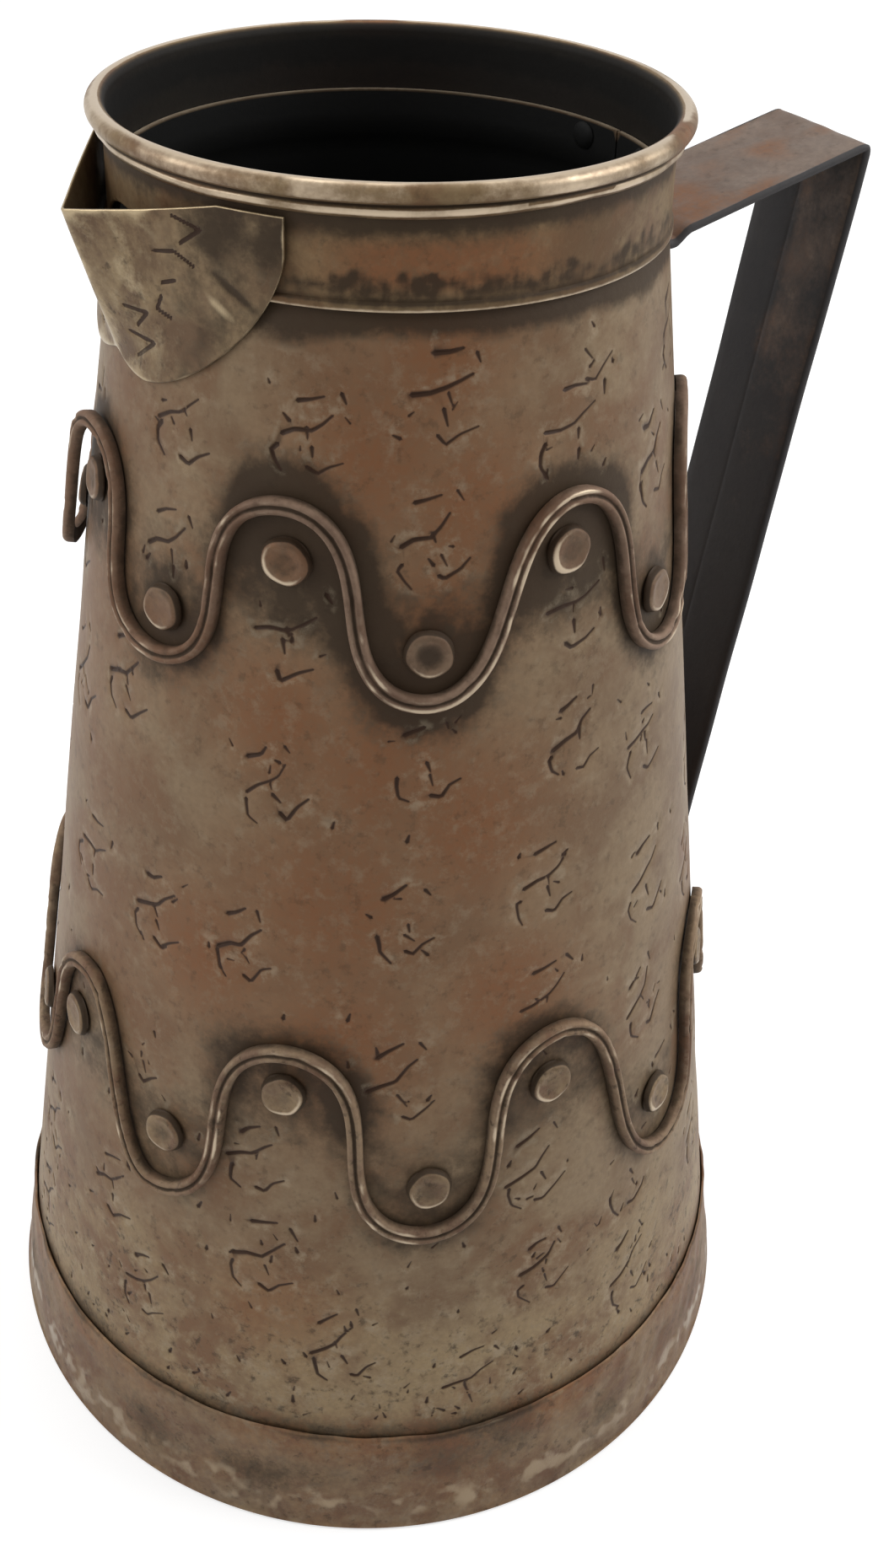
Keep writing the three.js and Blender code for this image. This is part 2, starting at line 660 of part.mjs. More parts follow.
const landing = bodyRadius(HANDLE_LANDING_HEIGHT) + FIT + TAB_THICKNESS;
const rootX = TAB_INNER + TAB_THICKNESS;
const legPoints = [
  new THREE.Vector2(rootX, HANDLE_ROOT_HEIGHT),
  new THREE.Vector2(HANDLE_REACH, HANDLE_CORNER_HEIGHT),
  new THREE.Vector2(landing, HANDLE_LANDING_HEIGHT),
];
const upperRun = legPoints[1].clone().sub(legPoints[0]).normalize();
const lowerRun = legPoints[2].clone().sub(legPoints[1]).normalize();
const inwardUpper = new THREE.Vector2(upperRun.y, -upperRun.x);
const inwardLower = new THREE.Vector2(lowerRun.y, -lowerRun.x);

// Outline of both legs at a depth below the outer faces, the bend rounded
function legFace(depth, bend) {
  const start = legPoints[0].clone().addScaledVector(upperRun, -9).addScaledVector(inwardUpper, depth);
  const end = legPoints[2].clone().addScaledVector(lowerRun, 9).addScaledVector(inwardLower, depth);
  const half = Math.acos(upperRun.dot(lowerRun)) / 2;
  const corner = legPoints[1].clone().addScaledVector(
    inwardUpper.clone().add(inwardLower).normalize(), depth / Math.cos(half));
  if (bend <= 0) {
    return [start, corner, end];
  }
  const cut = bend * Math.tan(half);
  const before = corner.clone().addScaledVector(upperRun, -cut);
  const centre = before.clone().addScaledVector(inwardUpper, bend);
  const points = [start];
  for (let k = 0; k <= 4; k += 1) {
    const turn = (-2 * half * k) / 4;
    const arm = before.clone().sub(centre).rotateAround(new THREE.Vector2(), turn);
    points.push(centre.clone().add(arm));
  }
  points.push(end);
  return points;
}

const outerFace = legFace(0, HANDLE_BEND);
const innerFace = legFace(HANDLE_THICKNESS, 0);
const legOutline = [...outerFace, ...innerFace.reverse()].map((p) => [p.x, p.y]);
let handle = solid(plate(legOutline, HANDLE_WIDTH));

// Slot where the two folded hems meet along the inner face of the long leg
const hemTop = innerFace[1];
const hemRun = lowerRun.clone();
const slotLength = hemTop.distanceTo(innerFace[0]) - 16;
const slot = new THREE.BoxGeometry(HEM_SLOT_DEPTH * 2, HEM_SLOT_WIDTH, slotLength);
const slotMiddle = hemTop.clone().addScaledVector(hemRun, 4 + slotLength / 2);
slot.rotateY(Math.atan2(-hemRun.x, -hemRun.y));
slot.translate(slotMiddle.x, 2, slotMiddle.y);
handle = handle.subtract(solid(slot));

// Nothing of the strap enters the jug: it is cut back to the seats of its two tabs
const keepOut = solid(turned([
  [0, -5],
  [bodyRadius(-5) + FIT, -5],
  [TAB_INNER, (TABLE_RADIUS + FIT - TAB_INNER) / BODY_SLOPE],
  [TAB_INNER, TOTAL_HEIGHT + 5],
  [0, TOTAL_HEIGHT + 5],
], FACETS * 2));
const upperTab = tabBlock(HANDLE_ROOT_HEIGHT - 3.4, UPPER_TAB_TOP, () => TAB_INNER, TAB_THICKNESS);
const lowerTabLow = HANDLE_LANDING_HEIGHT - LOWER_TAB_LENGTH;
const lowerTab = tabBlock(lowerTabLow, HANDLE_LANDING_HEIGHT + 2, (z) => bodyRadius(z) + FIT, TAB_THICKNESS);
handle = handle.add(upperTab).add(lowerTab).subtract(keepOut);
handle = handle.subtract(upperTabHoles).subtract(lowerTabHoles);
add(jug, 'handle_strap', geometryOf(handle), 0x5a4f46);

export default jug;
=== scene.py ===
# %% [markdown]
# # A sheet-metal jug
# The real jug is a cone of thin rolled sheet with a wired collar, a folded pouring spout, a foot
# band, a strap handle and two wavy straps between domed studs. It is bought new, but finished to
# look old. The CAD model fixes every size, so here each piece is rebuilt finer in the same place.

# %% Load the frame
import math

import bpy
import numpy as np
from mathutils import Matrix, Vector, geometry


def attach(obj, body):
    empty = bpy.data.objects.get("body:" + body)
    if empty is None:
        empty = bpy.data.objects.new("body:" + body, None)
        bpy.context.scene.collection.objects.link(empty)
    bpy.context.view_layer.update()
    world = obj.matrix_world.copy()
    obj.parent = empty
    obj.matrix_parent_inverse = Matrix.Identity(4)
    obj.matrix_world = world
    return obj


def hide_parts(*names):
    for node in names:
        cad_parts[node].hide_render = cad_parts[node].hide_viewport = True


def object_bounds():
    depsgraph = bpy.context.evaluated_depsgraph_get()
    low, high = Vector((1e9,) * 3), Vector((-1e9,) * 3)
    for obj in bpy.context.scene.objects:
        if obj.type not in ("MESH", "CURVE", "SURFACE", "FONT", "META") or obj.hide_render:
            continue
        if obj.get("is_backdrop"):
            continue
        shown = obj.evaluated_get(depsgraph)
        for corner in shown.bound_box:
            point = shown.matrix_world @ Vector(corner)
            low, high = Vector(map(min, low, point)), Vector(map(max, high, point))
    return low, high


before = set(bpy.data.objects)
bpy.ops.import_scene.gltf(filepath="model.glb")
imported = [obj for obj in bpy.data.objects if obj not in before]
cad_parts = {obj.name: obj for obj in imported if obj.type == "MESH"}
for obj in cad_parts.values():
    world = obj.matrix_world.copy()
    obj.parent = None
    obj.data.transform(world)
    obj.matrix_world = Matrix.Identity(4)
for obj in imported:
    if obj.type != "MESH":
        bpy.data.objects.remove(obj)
cad_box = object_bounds()
print("CAD nodes", len(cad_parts), "box", [tuple(round(v, 4) for v in c) for c in cad_box])

# %% [markdown]
# The sizes are those of the CAD model, in millimetres and degrees. The underside is at height 0,
# the handle is at 0 degrees and the spout at 180 degrees. Meshes are divided by 1000 at the end,
# because Blender works in metres.

# %% Sizes
TABLE_RADIUS = 87.4
SHOULDER_RADIUS = 54.2
SHOULDER_HEIGHT = 274.5
NECK_BASE = 275.7
NECK_RADIUS = 53.3
SLOPE = (TABLE_RADIUS - SHOULDER_RADIUS) / SHOULDER_HEIGHT


def cone_radius(z):
    """Outside of the cone at a height, with the neck drawn in above the shoulder."""
    radii = [TABLE_RADIUS + 10 * SLOPE, SHOULDER_RADIUS, NECK_RADIUS, NECK_RADIUS]
    return np.interp(z, [-10, SHOULDER_HEIGHT, NECK_BASE, 400], radii)


print("cone radius at the table, middle and shoulder", cone_radius(np.array([0, 150, SHOULDER_HEIGHT])))

# %% [markdown]
# ## Tools for making finishes
# A finish is a tree of shader nodes. Written as plain calls it is long and hard to read, so a
# small class wraps a socket and lets sums be written as sums. Any other node comes from one
# method, `node`, which takes the node's type, its settings and its inputs.

# %% Shader helpers


def tint(*values):
    """Linear colour from everyday values of 0 to 255."""
    shares = [((v / 255 + 0.055) / 1.055) ** 2.4 if v > 10 else v / 3295 for v in values]
    return (*shares, 1.0)


class Wire:
    """A socket that can stand in a sum."""

    def __init__(self, finish, socket):
        self.finish = finish
        self.socket = socket

    def sum(self, operation, first, second):
        return self.finish.node("ShaderNodeMath", {"operation": operation}, [first, second])

    def __add__(self, other):
        return self.sum("ADD", self, other)

    def __sub__(self, other):
        return self.sum("SUBTRACT", self, other)

    def __rsub__(self, other):
        return self.sum("SUBTRACT", other, self)

    def __mul__(self, other):
        return self.sum("MULTIPLY", self, other)

    __radd__ = __add__
    __rmul__ = __mul__


class Finish:
    """A material, or the world, and the nodes in it."""

    def __init__(self, name, tree=None):
        self.material = None
        if tree is None:
            self.material = bpy.data.materials.new(name)
            self.material.use_nodes = True
            tree = self.material.node_tree
        self.tree = tree
        self.tree.nodes.clear()

    def node(self, kind, settings=None, sockets=None, output=0):
        made = self.tree.nodes.new(kind)
        for key, value in (settings or {}).items():
            setattr(made, key, value)
        for key, value in sockets.items() if isinstance(sockets, dict) else enumerate(sockets or []):
            if isinstance(value, Wire):
                self.tree.links.new(value.socket, made.inputs[key])
            else:
                made.inputs[key].default_value = value
        return Wire(self, made.outputs[output]) if made.outputs else None

    def place(self, stretch=(1, 1, 1)):
        """Where the point is on the jug, squeezed along an axis for long streaks."""
        spot = self.node("ShaderNodeTexCoord", output="Object")
        return self.node("ShaderNodeVectorMath", {"operation": "MULTIPLY"}, [spot, stretch])

    def noise(self, size, seed, detail=5.0, rough=0.6, warp=0.0, stretch=(1, 1, 1)):
        """Random blotches about size millimetres across."""
        values = {"Vector": self.place(stretch), "W": seed, "Scale": 700 / size}
        values |= {"Detail": detail, "Roughness": rough, "Distortion": warp}
        return self.node("ShaderNodeTexNoise", {"noise_dimensions": "4D"}, values)

    def rise(self, value, low, high):
        """Smooth step from 0 at low to 1 at high."""
        sockets = {"Value": value, "From Min": low, "From Max": high}
        return self.node("ShaderNodeMapRange", {"interpolation_type": "SMOOTHSTEP"}, sockets)

    def blend(self, share, first, second):
        """Colour between two colours."""
        sockets = {0: share, 6: first, 7: second}
        return self.node("ShaderNodeMix", {"data_type": "RGBA"}, sockets, output=2)

    def painted(self, name):
        """A number that was painted on the mesh, or 0 where it wasn't."""
        return self.node("ShaderNodeAttribute", {"attribute_name": name}, output="Fac")

    def seen(self):
        """1 for rays from the camera, from glossy surfaces and through clear ones."""
        path = self.node("ShaderNodeLightPath", output="Is Camera Ray")
        path = path + self.node("ShaderNodeLightPath", output="Is Glossy Ray")
        return path + self.node("ShaderNodeLightPath", output="Is Transmission Ray")

    def close(self, colour, roughness, metallic, height):
        """Ends a metal finish. The height moves its bumps up to a quarter of a millimetre."""
        values = {"Height": height, "Distance": 0.00025, "Strength": 0.65}
        normal = self.node("ShaderNodeBump", None, values)
        values = {"Base Color": colour, "Roughness": roughness, "Metallic": metallic}
        values |= {"Normal": normal, "Specular IOR Level": 0.2}
        shader = self.node("ShaderNodeBsdfPrincipled", None, values)
        self.node("ShaderNodeOutputMaterial", None, {"Surface": shader})
        return self.material


# %% [markdown]
# ## The patina
# The maker blackened the whole jug with a chemical wash, rubbed it back and let some of it rust.
# So one recipe serves every piece: blotches of two browns, cloudy rust, a fine pale speckle
# where the wash has worn, soot in the hollows and bright metal on rubbed edges. The soot layer also
# carries painted shade, the rub layer painted highlights and painted light, and the inside of the jug
# is painted near-black shade. What is painted on the mesh says where the hollows, edges, shade and
# highlights are, and noise breaks every border. The look of real patina comes from layers of
# different size, so the recipe has noise of 60, 14, 9, 3, 1.7 and 0.9 mm. A surface always mirrors
# a little of the white world, so the dark paints are written darker and stronger in colour than they
# look.

# %% Colours of the patina
# The first colour darkens soot and painted shade alike; the second is the near-black painted shade of the
# jug's inside.
SOOT_AND_SHADE, INSIDE_SHADE, GROOVE_BROWN = (50, 38, 26), tint(9, 9, 8), tint(46, 26, 12)
COPPER, OCHRE = tint(119, 81, 54), tint(150, 130, 98)


def patina(name, main, deep, pale, metal, rough=0.5, coppery=0.5, bright=(186, 168, 144), black=SOOT_AND_SHADE):
    """Aged metal with painted shade and highlights. It reads painted numbers from the mesh: blackening and
    shade, marks, wear and highlights, rust, crust, and the near-black inside.
    """
    f = Finish(name)
    main, deep, pale, bright, black, grime = (tint(*c) for c in (main, deep, pale, bright, black, SOOT_AND_SHADE))
    cloud = f.noise(60, 1.0, detail=4)
    blotch = f.noise(14, 2.0, detail=6, rough=0.65, warp=0.4)
    speckle = f.noise(3, 3.0, detail=5, rough=0.7)
    grit = f.noise(0.9, 4.0, detail=3)
    streak = f.noise(9, 5.0, detail=4, stretch=(1, 1, 0.12))
    colour = f.blend(f.rise(blotch, 0.38, 0.6), deep, main)
    copper = f.rise(cloud * 0.6 + blotch * 0.4, 0.56, 0.42) * coppery
    rusty = f.painted("glow") * f.rise(blotch, 0.05, 0.5)
    copper = f.node("ShaderNodeMath", {"operation": "MAXIMUM"}, [copper, rusty])
    colour = f.blend(copper, colour, COPPER)
    crust = f.painted("crust")
    colour = f.blend(crust * f.rise(blotch + 0.5 * speckle, 0.6, 0.85) * 0.7, colour, OCHRE)
    colour = f.blend(f.rise(speckle + 0.25 * grit, 0.6, 0.84) * (0.3 + 0.35 * crust), colour, pale)
    colour = f.blend(f.rise(grit, 0.36, 0.64) * 0.3, colour, deep)
    colour = f.blend(f.rise(streak, 0.5, 0.8) * 0.3, colour, deep)
    fleck = f.noise(1.7, 6.0, detail=4, rough=0.65)
    colour = f.blend(f.rise(fleck, 0.53, 0.7) * (0.3 + 0.45 * crust), colour, grime)
    # This layer carries soot and also painted shade, both darkened towards the black colour.
    soot = f.painted("soot")
    sooty = f.rise(soot + 0.55 * blotch + 0.7 * speckle + 0.25 * grit, 0.85, 1.45)
    colour = f.blend(sooty * 0.88, colour, black)
    mark = f.painted("mark")
    burr = f.rise(mark, 0.06, 0.26) * (1 - f.rise(mark, 0.32, 0.46)) * f.rise(speckle, 0.46, 0.66)
    colour = f.blend(burr * 0.34, colour, pale)
    cut = f.rise(mark, 0.4, 0.66)
    colour = f.blend(cut * 0.95, colour, GROOVE_BROWN)
    # This layer carries rubbed metal and also painted highlights and painted light, both lightened towards
    # the bright colour.
    rub = f.painted("rub")
    rubbed = f.rise(rub + 0.7 * speckle + 0.3 * blotch, 0.85, 1.35)
    colour = f.blend(rubbed, colour, bright)
    # The inside of the jug is painted near-black: painted shade.
    inside = f.painted("inside")
    colour = f.blend(inside, colour, INSIDE_SHADE)
    roughness = rough + 0.18 * speckle + 0.12 * sooty - 0.22 * rubbed - 0.06 + 0.15 * inside
    metallic = (metal + 0.35 * rubbed - 0.3 * sooty) * (1 - inside) * (1 - 0.8 * cut)
    height = 0.55 * speckle + 0.25 * grit + 0.7 * blotch - 0.8 * cut
    height = height - 0.3 * crust * f.rise(fleck, 0.5, 0.62)
    return f.close(colour, roughness, metallic, height)


# %% [markdown]
# ## Finishes of the pieces
# The photo shows small differences between the parts: the cone is the brownest, the collar is
# warmer and more brassy, the foot band redder, and the handle's shaded face a cold dark grey. Each
# line gives the main, the deep and the pale colour, then how metallic the finish is.

# %% Finishes
RECIPES = {
    "body_sheet": ((132, 113, 89), (110, 89, 68), (160, 145, 122), 0.4, {"coppery": 0.48}),
    "collar_sheet": ((124, 104, 76), (94, 73, 52), (150, 132, 104), 0.45, {"coppery": 0.4}),
    "spout_sheet": (
        (134, 114, 87), (94, 76, 58), (164, 148, 120), 0.45, {"coppery": 0.15, "bright": (168, 150, 120)},
    ),
    "foot_sheet": ((122, 100, 80), (94, 74, 59), (150, 134, 114), 0.35, {"bright": (142, 124, 101)}),
    "base_sheet": ((104, 88, 70), (80, 66, 52), (128, 112, 92), 0.35, {}),
    # The handle's black is the colour of the painted shade on its inner face.
    "handle_metal": (
        (122, 106, 94), (94, 82, 74), (148, 133, 120), 0.35,
        {"rough": 0.45, "coppery": 0.3, "black": (54, 56, 59)},
    ),
    "strap_metal": ((136, 112, 95), (104, 82, 67), (162, 142, 122), 0.22, {"rough": 0.62, "coppery": 0.4}),
    "stud_metal": ((122, 100, 81), (94, 74, 59), (150, 132, 110), 0.3, {"coppery": 0.4}),
    "seam_sheet": ((40, 35, 31), (28, 25, 22), (54, 48, 42), 0.2, {}),
    "wire_iron": ((100, 90, 80), (70, 62, 54), (130, 118, 104), 0.6, {}),
}
finishes = {name: patina(name, *recipe, **more) for name, (*recipe, more) in RECIPES.items()}
print("finishes", len(finishes))

for node, slot in (("body_seam_strip", "seam_sheet"), ("rim_wire", "wire_iron")):
    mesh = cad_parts[node].data
    mesh.materials.clear()
    mesh.materials.append(finishes[slot])
    print("kept from the CAD model:", node)

# %% [markdown]
# ## The line of a wave strap
# Each strap is a bar bent by hand into a wave. The bends are uneven, as in the photo, so the
# places of the crests and valleys are lists. Between them the height follows half a cosine, and
# each leg has a steepness, which makes it more upright than a plain sine wave would be.

# %% Wave lines
# Each row of bends: its level, the side that its studs are on, and for each bend the angle, the
# rise off the level, the steepness of the leg that leaves it, and the turn and inset of its stud.
BENDS = {
    "upper_crest": (240, -1, [
        [173.4, -0.3, 0.46, 0.1, 11.9], [-135.7, 0.4, 0.36, 0.4, 10.7], [-83.2, -0.7, 0.4, -1.2, 10.3],
        [-33, 2, 0.38, 0, 11.5], [10, 0.3, 0.34, 0, 11.5], [51, -0.6, 0.4, 0.5, 11],
        [92, 0.4, 0.36, 0, 11.5], [132, 0, 0.38, -0.5, 11],
    ]),
    "upper_valley": (203, 1, [
        [-161.4, 0.8, 0.44, 1.6, 9.4], [-110.8, 0.5, 0.19, 0.2, 9.7], [-57.9, -3.3, 0.38, -2.1, 11],
        [-12, 0, 0.38, 0, 11], [31, 0.6, 0.34, 0.5, 10.5], [72, -0.5, 0.4, 0, 11],
        [112, 0.4, 0.36, -0.5, 10.5], [151, 0.6, 0.38, 0, 10.5],
    ]),
    "lower_crest": (122, -1, [
        [43, 0, 0.38, 0, 11.5], [92, 1, 0.36, 0.5, 11.5], [144, -3, 0.38, 0, 11.5],
        [-173.1, -1.7, 0.14, -4.4, 15.8], [-131.9, 2.9, 0.45, -0.7, 10.3], [-88.2, 2.4, 0.3, -1, 12.4],
        [-42, -3.5, 0.38, 0, 11.5],
    ]),
    "lower_valley": (80, 1, [
        [21, 0, 0.34, 0, 11.5], [67, 0.5, 0.38, 0, 11.5], [118, -0.5, 0.36, 0.5, 11.5],
        [164, 0, 0.38, 0, 11.5], [-154.8, 1, 0.42, 1.7, 13.9], [-110.2, 1.5, 0.39, 0.6, 11.4],
        [-63.5, -3.7, 0.4, -1.2, 13.4], [-21, 0, 0.38, 0, 11.5],
    ]),
}


def bends_of(strap):
    """Angle, height and steepness of each bend, in the order that they come round the cone."""
    rows = [(level, bend) for row, (level, _, bends) in BENDS.items() if strap in row for bend in bends]
    return sorted((bend[0] % 360, level + bend[1], bend[2]) for level, bend in rows)


def wave_line(bends, closed, steps):
    """Angles and heights along a strap."""
    degrees, heights = [], []
    spans = len(bends) if closed else len(bends) - 1
    t = np.arange(steps) / steps
    for i in range(spans):
        (angle, z, steepness), (next_angle, next_z, _) = bends[i], bends[(i + 1) % len(bends)]
        along = t + steepness / math.pi * np.sin(2 * math.pi * t)
        degrees.append(angle + ((next_angle - angle) % 360) * along)
        heights.append(z + (next_z - z) * (1 - np.cos(math.pi * t)) / 2)
    if not closed:
        degrees.append([bends[-1][0]])
        heights.append([bends[-1][1]])
    return np.concatenate(degrees), np.concatenate(heights)


lines = {"upper": (bends_of("upper"), True), "lower": (bends_of("lower"), False)}
print("bends", len(lines["upper"][0]), len(lines["lower"][0]))

# %% [markdown]
# ## Where the studs sit
# A stud stands inside each bend, a little way in from the strap. Every shank goes through the
# sheet, so the same list places the heads and the holes.

# %% Stud seats
# The air left between two sheets that the real jug has pressed together.
FIT = 0.3
stud_seats = []
for row, (level, side, bends) in BENDS.items():
    for i, (angle, rise, _, turn, inset) in enumerate(bends):
        stud_seats.append((f"{row}_stud_{i + 1}", angle + turn, level + rise + side * inset))
HANDLE_SHEET = 2.0
ROOT_LEVEL = 267.6
TAB_INNER = float(cone_radius(ROOT_LEVEL)) + FIT
UPPER_TAB_STUD_LEVEL, LOWER_TAB_STUD_LEVEL = 282.0, 85.2
TAB_STUD_SPREAD = 11
tab_seats = []
for side, spread in (("left", TAB_STUD_SPREAD), ("right", -TAB_STUD_SPREAD)):
    lower_radius = float(cone_radius(LOWER_TAB_STUD_LEVEL))
    tab_seats += [
        (f"handle_upper_stud_{side}", math.degrees(spread / TAB_INNER), UPPER_TAB_STUD_LEVEL),
        (f"handle_lower_stud_{side}", math.degrees(spread / lower_radius), LOWER_TAB_STUD_LEVEL),
    ]
print("studs", len(stud_seats), "and", len(tab_seats), "on the handle's tabs")

# %% [markdown]
# ## The punched marks
# All over the cone runs a tooled pattern: the same group of small strokes, struck again and
# again, no two alike. Each group has a short thick dash, a long bent stroke, a check mark and a
# hooked stroke. The strokes here are lines on the unrolled cone, drawn from one pattern and then
# turned, stretched and jogged at random. The groups in front stand where the photo has them, and
# the rest fill loose rows round the cone.

# %% Strokes
MM_PER_DEGREE = 1.25
PATTERN = [
    [(-3.6, 6.2), (-1.4, 7.1), (0.9, 8.2)],
    [(-5.6, -1.6), (-2.8, -0.5), (0.0, 0.6), (1.9, 2.6), (3.8, 4.6)],
    [(4.3, 8.8), (5.4, 7.2)],
    [(0.2, 0.2), (0.6, -1.4)],
    [(1.0, -2.6), (2.0, -4.8)],
    [(-5.4, -3.4), (-6.0, -4.9), (-5.4, -7.2), (-3.8, -9.0)],
    [(0.6, -7.6), (2.4, -8.4), (4.6, -6.2), (6.8, -4.7)],
]
PATTERN_FORCE = [1.0, 0.95, 0.75, 0.7, 0.75, 0.85, 0.85]
FRONT_GROUPS = [
    (-80, 268), (-108, 262), (-132, 254), (-158, 252), (-82, 251), (-160, 225), (-110, 235),
    (-135, 216), (-83, 217), (-83, 190), (-64, 180), (-111, 191), (-137, 184), (-170, 194),
    (-89, 160), (-65, 147), (-114, 156), (-158, 147), (-141, 147), (-177, 147), (-89, 132),
    (-67, 117), (-115, 119), (-137, 97), (-92, 91), (-72, 74), (-91, 64), (-73, 48), (-135, 72),
    (-123, 51), (-165, 70), (-156, 50), (-103, 38),
]
GROUP_STEP, GROUP_GAP = 28, 22


def turn_from(degrees, angle):
    """The turn from an angle to others, at most half a circle either way."""
    return (degrees - angle + 180) % 360 - 180


def group_places(rng):
    """Angle and height of each group of strokes, none too near another."""
    places = [(angle % 360, z) for angle, z in FRONT_GROUPS]
    for row, z in enumerate(np.arange(38, 268, 25)):
        count = int(round(2 * math.pi * float(cone_radius(z)) / GROUP_STEP))
        for i in range(count):
            angle = ((i + 0.5 * (row % 2)) * 360 / count + rng.uniform(-3.5, 3.5)) % 360
            height = z + rng.uniform(-4, 4)
            reach = math.pi / 180 * float(cone_radius(height))
            gaps = [math.hypot(turn_from(angle, a) * reach, height - b) for a, b in places]
            if min(gaps) > GROUP_GAP:
                places.append((angle, height))
    return places


def on_cone(angle, z, x, y):
    """Angle and height of points x to the side and y up from a place on the cone."""
    return np.stack([angle + np.degrees(x / cone_radius(z + y)), z + y], 1)


def strokes_of(places, rng):
    """Each stroke as angle and height points, with how deep it was struck."""
    strokes = []
    for angle, z in places:
        turn, size = rng.normal(0, 0.12), rng.uniform(0.88, 1.1)
        for line, force in zip(PATTERN, PATTERN_FORCE):
            keep, deep = rng.random() > 0.08, force * rng.uniform(0.65, 1.0)
            points = np.array(line) * size + rng.normal(0, 0.3, (len(line), 2)) + rng.normal(0, 0.4, 2)
            if keep:
                x = points[:, 0] * math.cos(turn) - points[:, 1] * math.sin(turn)
                y = points[:, 0] * math.sin(turn) + points[:, 1] * math.cos(turn)
                strokes.append((on_cone(angle, z, x, y), deep))
        for _ in range(3):
            start = np.array([rng.uniform(-8, 8), rng.uniform(-9, 9)])
            tilt, length = rng.uniform(0, math.pi), rng.uniform(0.8, 1.8)
            ends = np.stack([start, start + length * np.array([math.cos(tilt), math.sin(tilt)])])
            strokes.append((on_cone(angle, z, ends[:, 0], ends[:, 1]), rng.uniform(0.35, 0.75)))
    return strokes


def pits_of(count, low, high, rng):
    """Tiny nicks, thickest near the foot."""
    pits = []
    for _ in range(count):
        angle, z = rng.uniform(0, 360), low + (high - low) * rng.random() ** 1.7
        tilt, length = rng.uniform(0.4, 2.4), rng.uniform(0.6, 1.8)
        turn = math.degrees(math.cos(tilt) * length / float(cone_radius(z)))
        ends = np.array([[angle, z], [angle + turn, z + math.sin(tilt) * length]])
        pits.append((ends, rng.uniform(0.35, 0.8)))
    return pits


def flat(degrees, z):
    """Place on the unrolled cone, in millimetres at the cone's middle."""
    return np.stack([np.asarray(degrees) * MM_PER_DEGREE, np.asarray(z)], -1)


def squeeze_at(z):
    """How much wider the unrolled sheet is drawn than it is at a height, and the height as it is."""
    return np.array([MM_PER_DEGREE * 180 / math.pi / float(cone_radius(z)), 1])


def bars_on_sheet(steps):
    """Points along both straps."""
    waves = [wave_line(*line, steps) for line in lines.values()]
    return np.vstack([flat(angles % 360, z) for angles, z in waves])


def heads_on_sheet(kind):
    """Places of the studs with a word in their names."""
    return np.array([flat(a % 360, z) for name, a, z in stud_seats if kind in name])


def clear_of_trim(strokes):
    """Strokes that no strap, stud or edge covers."""
    bars, heads = bars_on_sheet(24), heads_on_sheet("stud")
    kept = []
    for points, deep in strokes:
        mine = flat(points[:, 0] % 360, points[:, 1])
        off_bars = np.linalg.norm(mine[:, None] - bars[None], axis=-1).min()
        off_heads = np.linalg.norm(mine[:, None] - heads[None], axis=-1).min()
        inside = 3 < points[:, 0].min() and points[:, 0].max() < 357
        inside = inside and 29.5 < points[:, 1].min() and points[:, 1].max() < 273
        under_spout = np.abs(points[:, 0] % 360 - 180).min() < 32 and points[:, 1].max() > 256
        if off_bars > 2.9 and off_heads > 6.2 and inside and not under_spout:
            kept.append((points, deep))
    return kept


rng = np.random.default_rng(11)
strokes = strokes_of(group_places(rng), rng) + pits_of(260, 30, 95, rng) + pits_of(120, 95, 265, rng)
strokes = clear_of_trim(strokes)
print("strokes", len(strokes))

# %% [markdown]
# ## The cone
# The body is one sheet, rolled up and closed by a seam under the handle. A grid fine enough for
# the strokes would be far too heavy, so the unrolled sheet is cut into triangles of mixed size:
# rows of close points run along each stroke and strap, and wide ones fill the rest. Blender's
# Delaunay tool joins them, and the result is rolled up round the axis. The face inside the jug is
# cut the same way from the same edge, so walls join the two faces, also round the pouring hole and
# the shank holes.

# %% Ways along a path


def unit(vectors):
    """Vectors of length one."""
    return vectors / np.linalg.norm(vectors, axis=-1, keepdims=True)


def leftward(way):
    """Directions square to the ones given, to their left."""
    return np.stack([-way[:, 1], way[:, 0]], 1)


def mileage(path):
    """How far along a path each of its points is."""
    return np.concatenate([[0], np.cumsum(np.linalg.norm(np.diff(path, axis=0), axis=1))])


print("length of a 3 by 4 mm step", mileage(np.array([[0, 0], [3, 4]]))[-1])

# %% Points of the unrolled sheet
BODY_BOTTOM = 1.2
NECK_TOP = 285.5
SEAM_EDGE = 0.26
SHEET_WIDTH = 360 * MM_PER_DEGREE
HOLE_LEVEL, HOLE_HALF_WIDTH, HOLE_HALF_HEIGHT = 273.0, 14.0, 11.5
SHANK_HOLE = 1.9
GROOVE_HALF = 0.57


def edge_points():
    """The four edges of the sheet, then the rim of each hole."""
    left, right = SEAM_EDGE * MM_PER_DEGREE, (360 - SEAM_EDGE) * MM_PER_DEGREE
    x = np.linspace(left, right, 226)
    low_part, high_part = np.linspace(BODY_BOTTOM, SHOULDER_HEIGHT, 130), np.linspace(278, NECK_TOP, 4)
    heights = np.concatenate([low_part, [NECK_BASE], high_part])
    edge = [[v, BODY_BOTTOM] for v in x] + [[v, NECK_TOP] for v in x]
    edge += [[left, z] for z in heights[1:-1]] + [[right, z] for z in heights[1:-1]]
    rims, loops = [], []
    turn = np.arange(44) * 2 * math.pi / 44
    across = np.degrees(np.arcsin(HOLE_HALF_WIDTH * np.cos(turn) / SHOULDER_RADIUS))
    rims.append(flat(180 + across, HOLE_LEVEL + HOLE_HALF_HEIGHT * np.sin(turn)))
    turn = np.arange(12) * 2 * math.pi / 12
    for _, angle, z in stud_seats + tab_seats:
        across = np.degrees(SHANK_HOLE * np.cos(turn) / float(cone_radius(z)))
        rims.append(flat(angle % 360 + across, z + SHANK_HOLE * np.sin(turn)))
    points = np.array(edge)
    for rim in rims:
        if rim[:, 0].min() > left + 1 and rim[:, 0].max() < right - 1:
            loops.append(np.arange(len(points), len(points) + len(rim)))
            points = np.vstack([points, rim])
    return points, loops


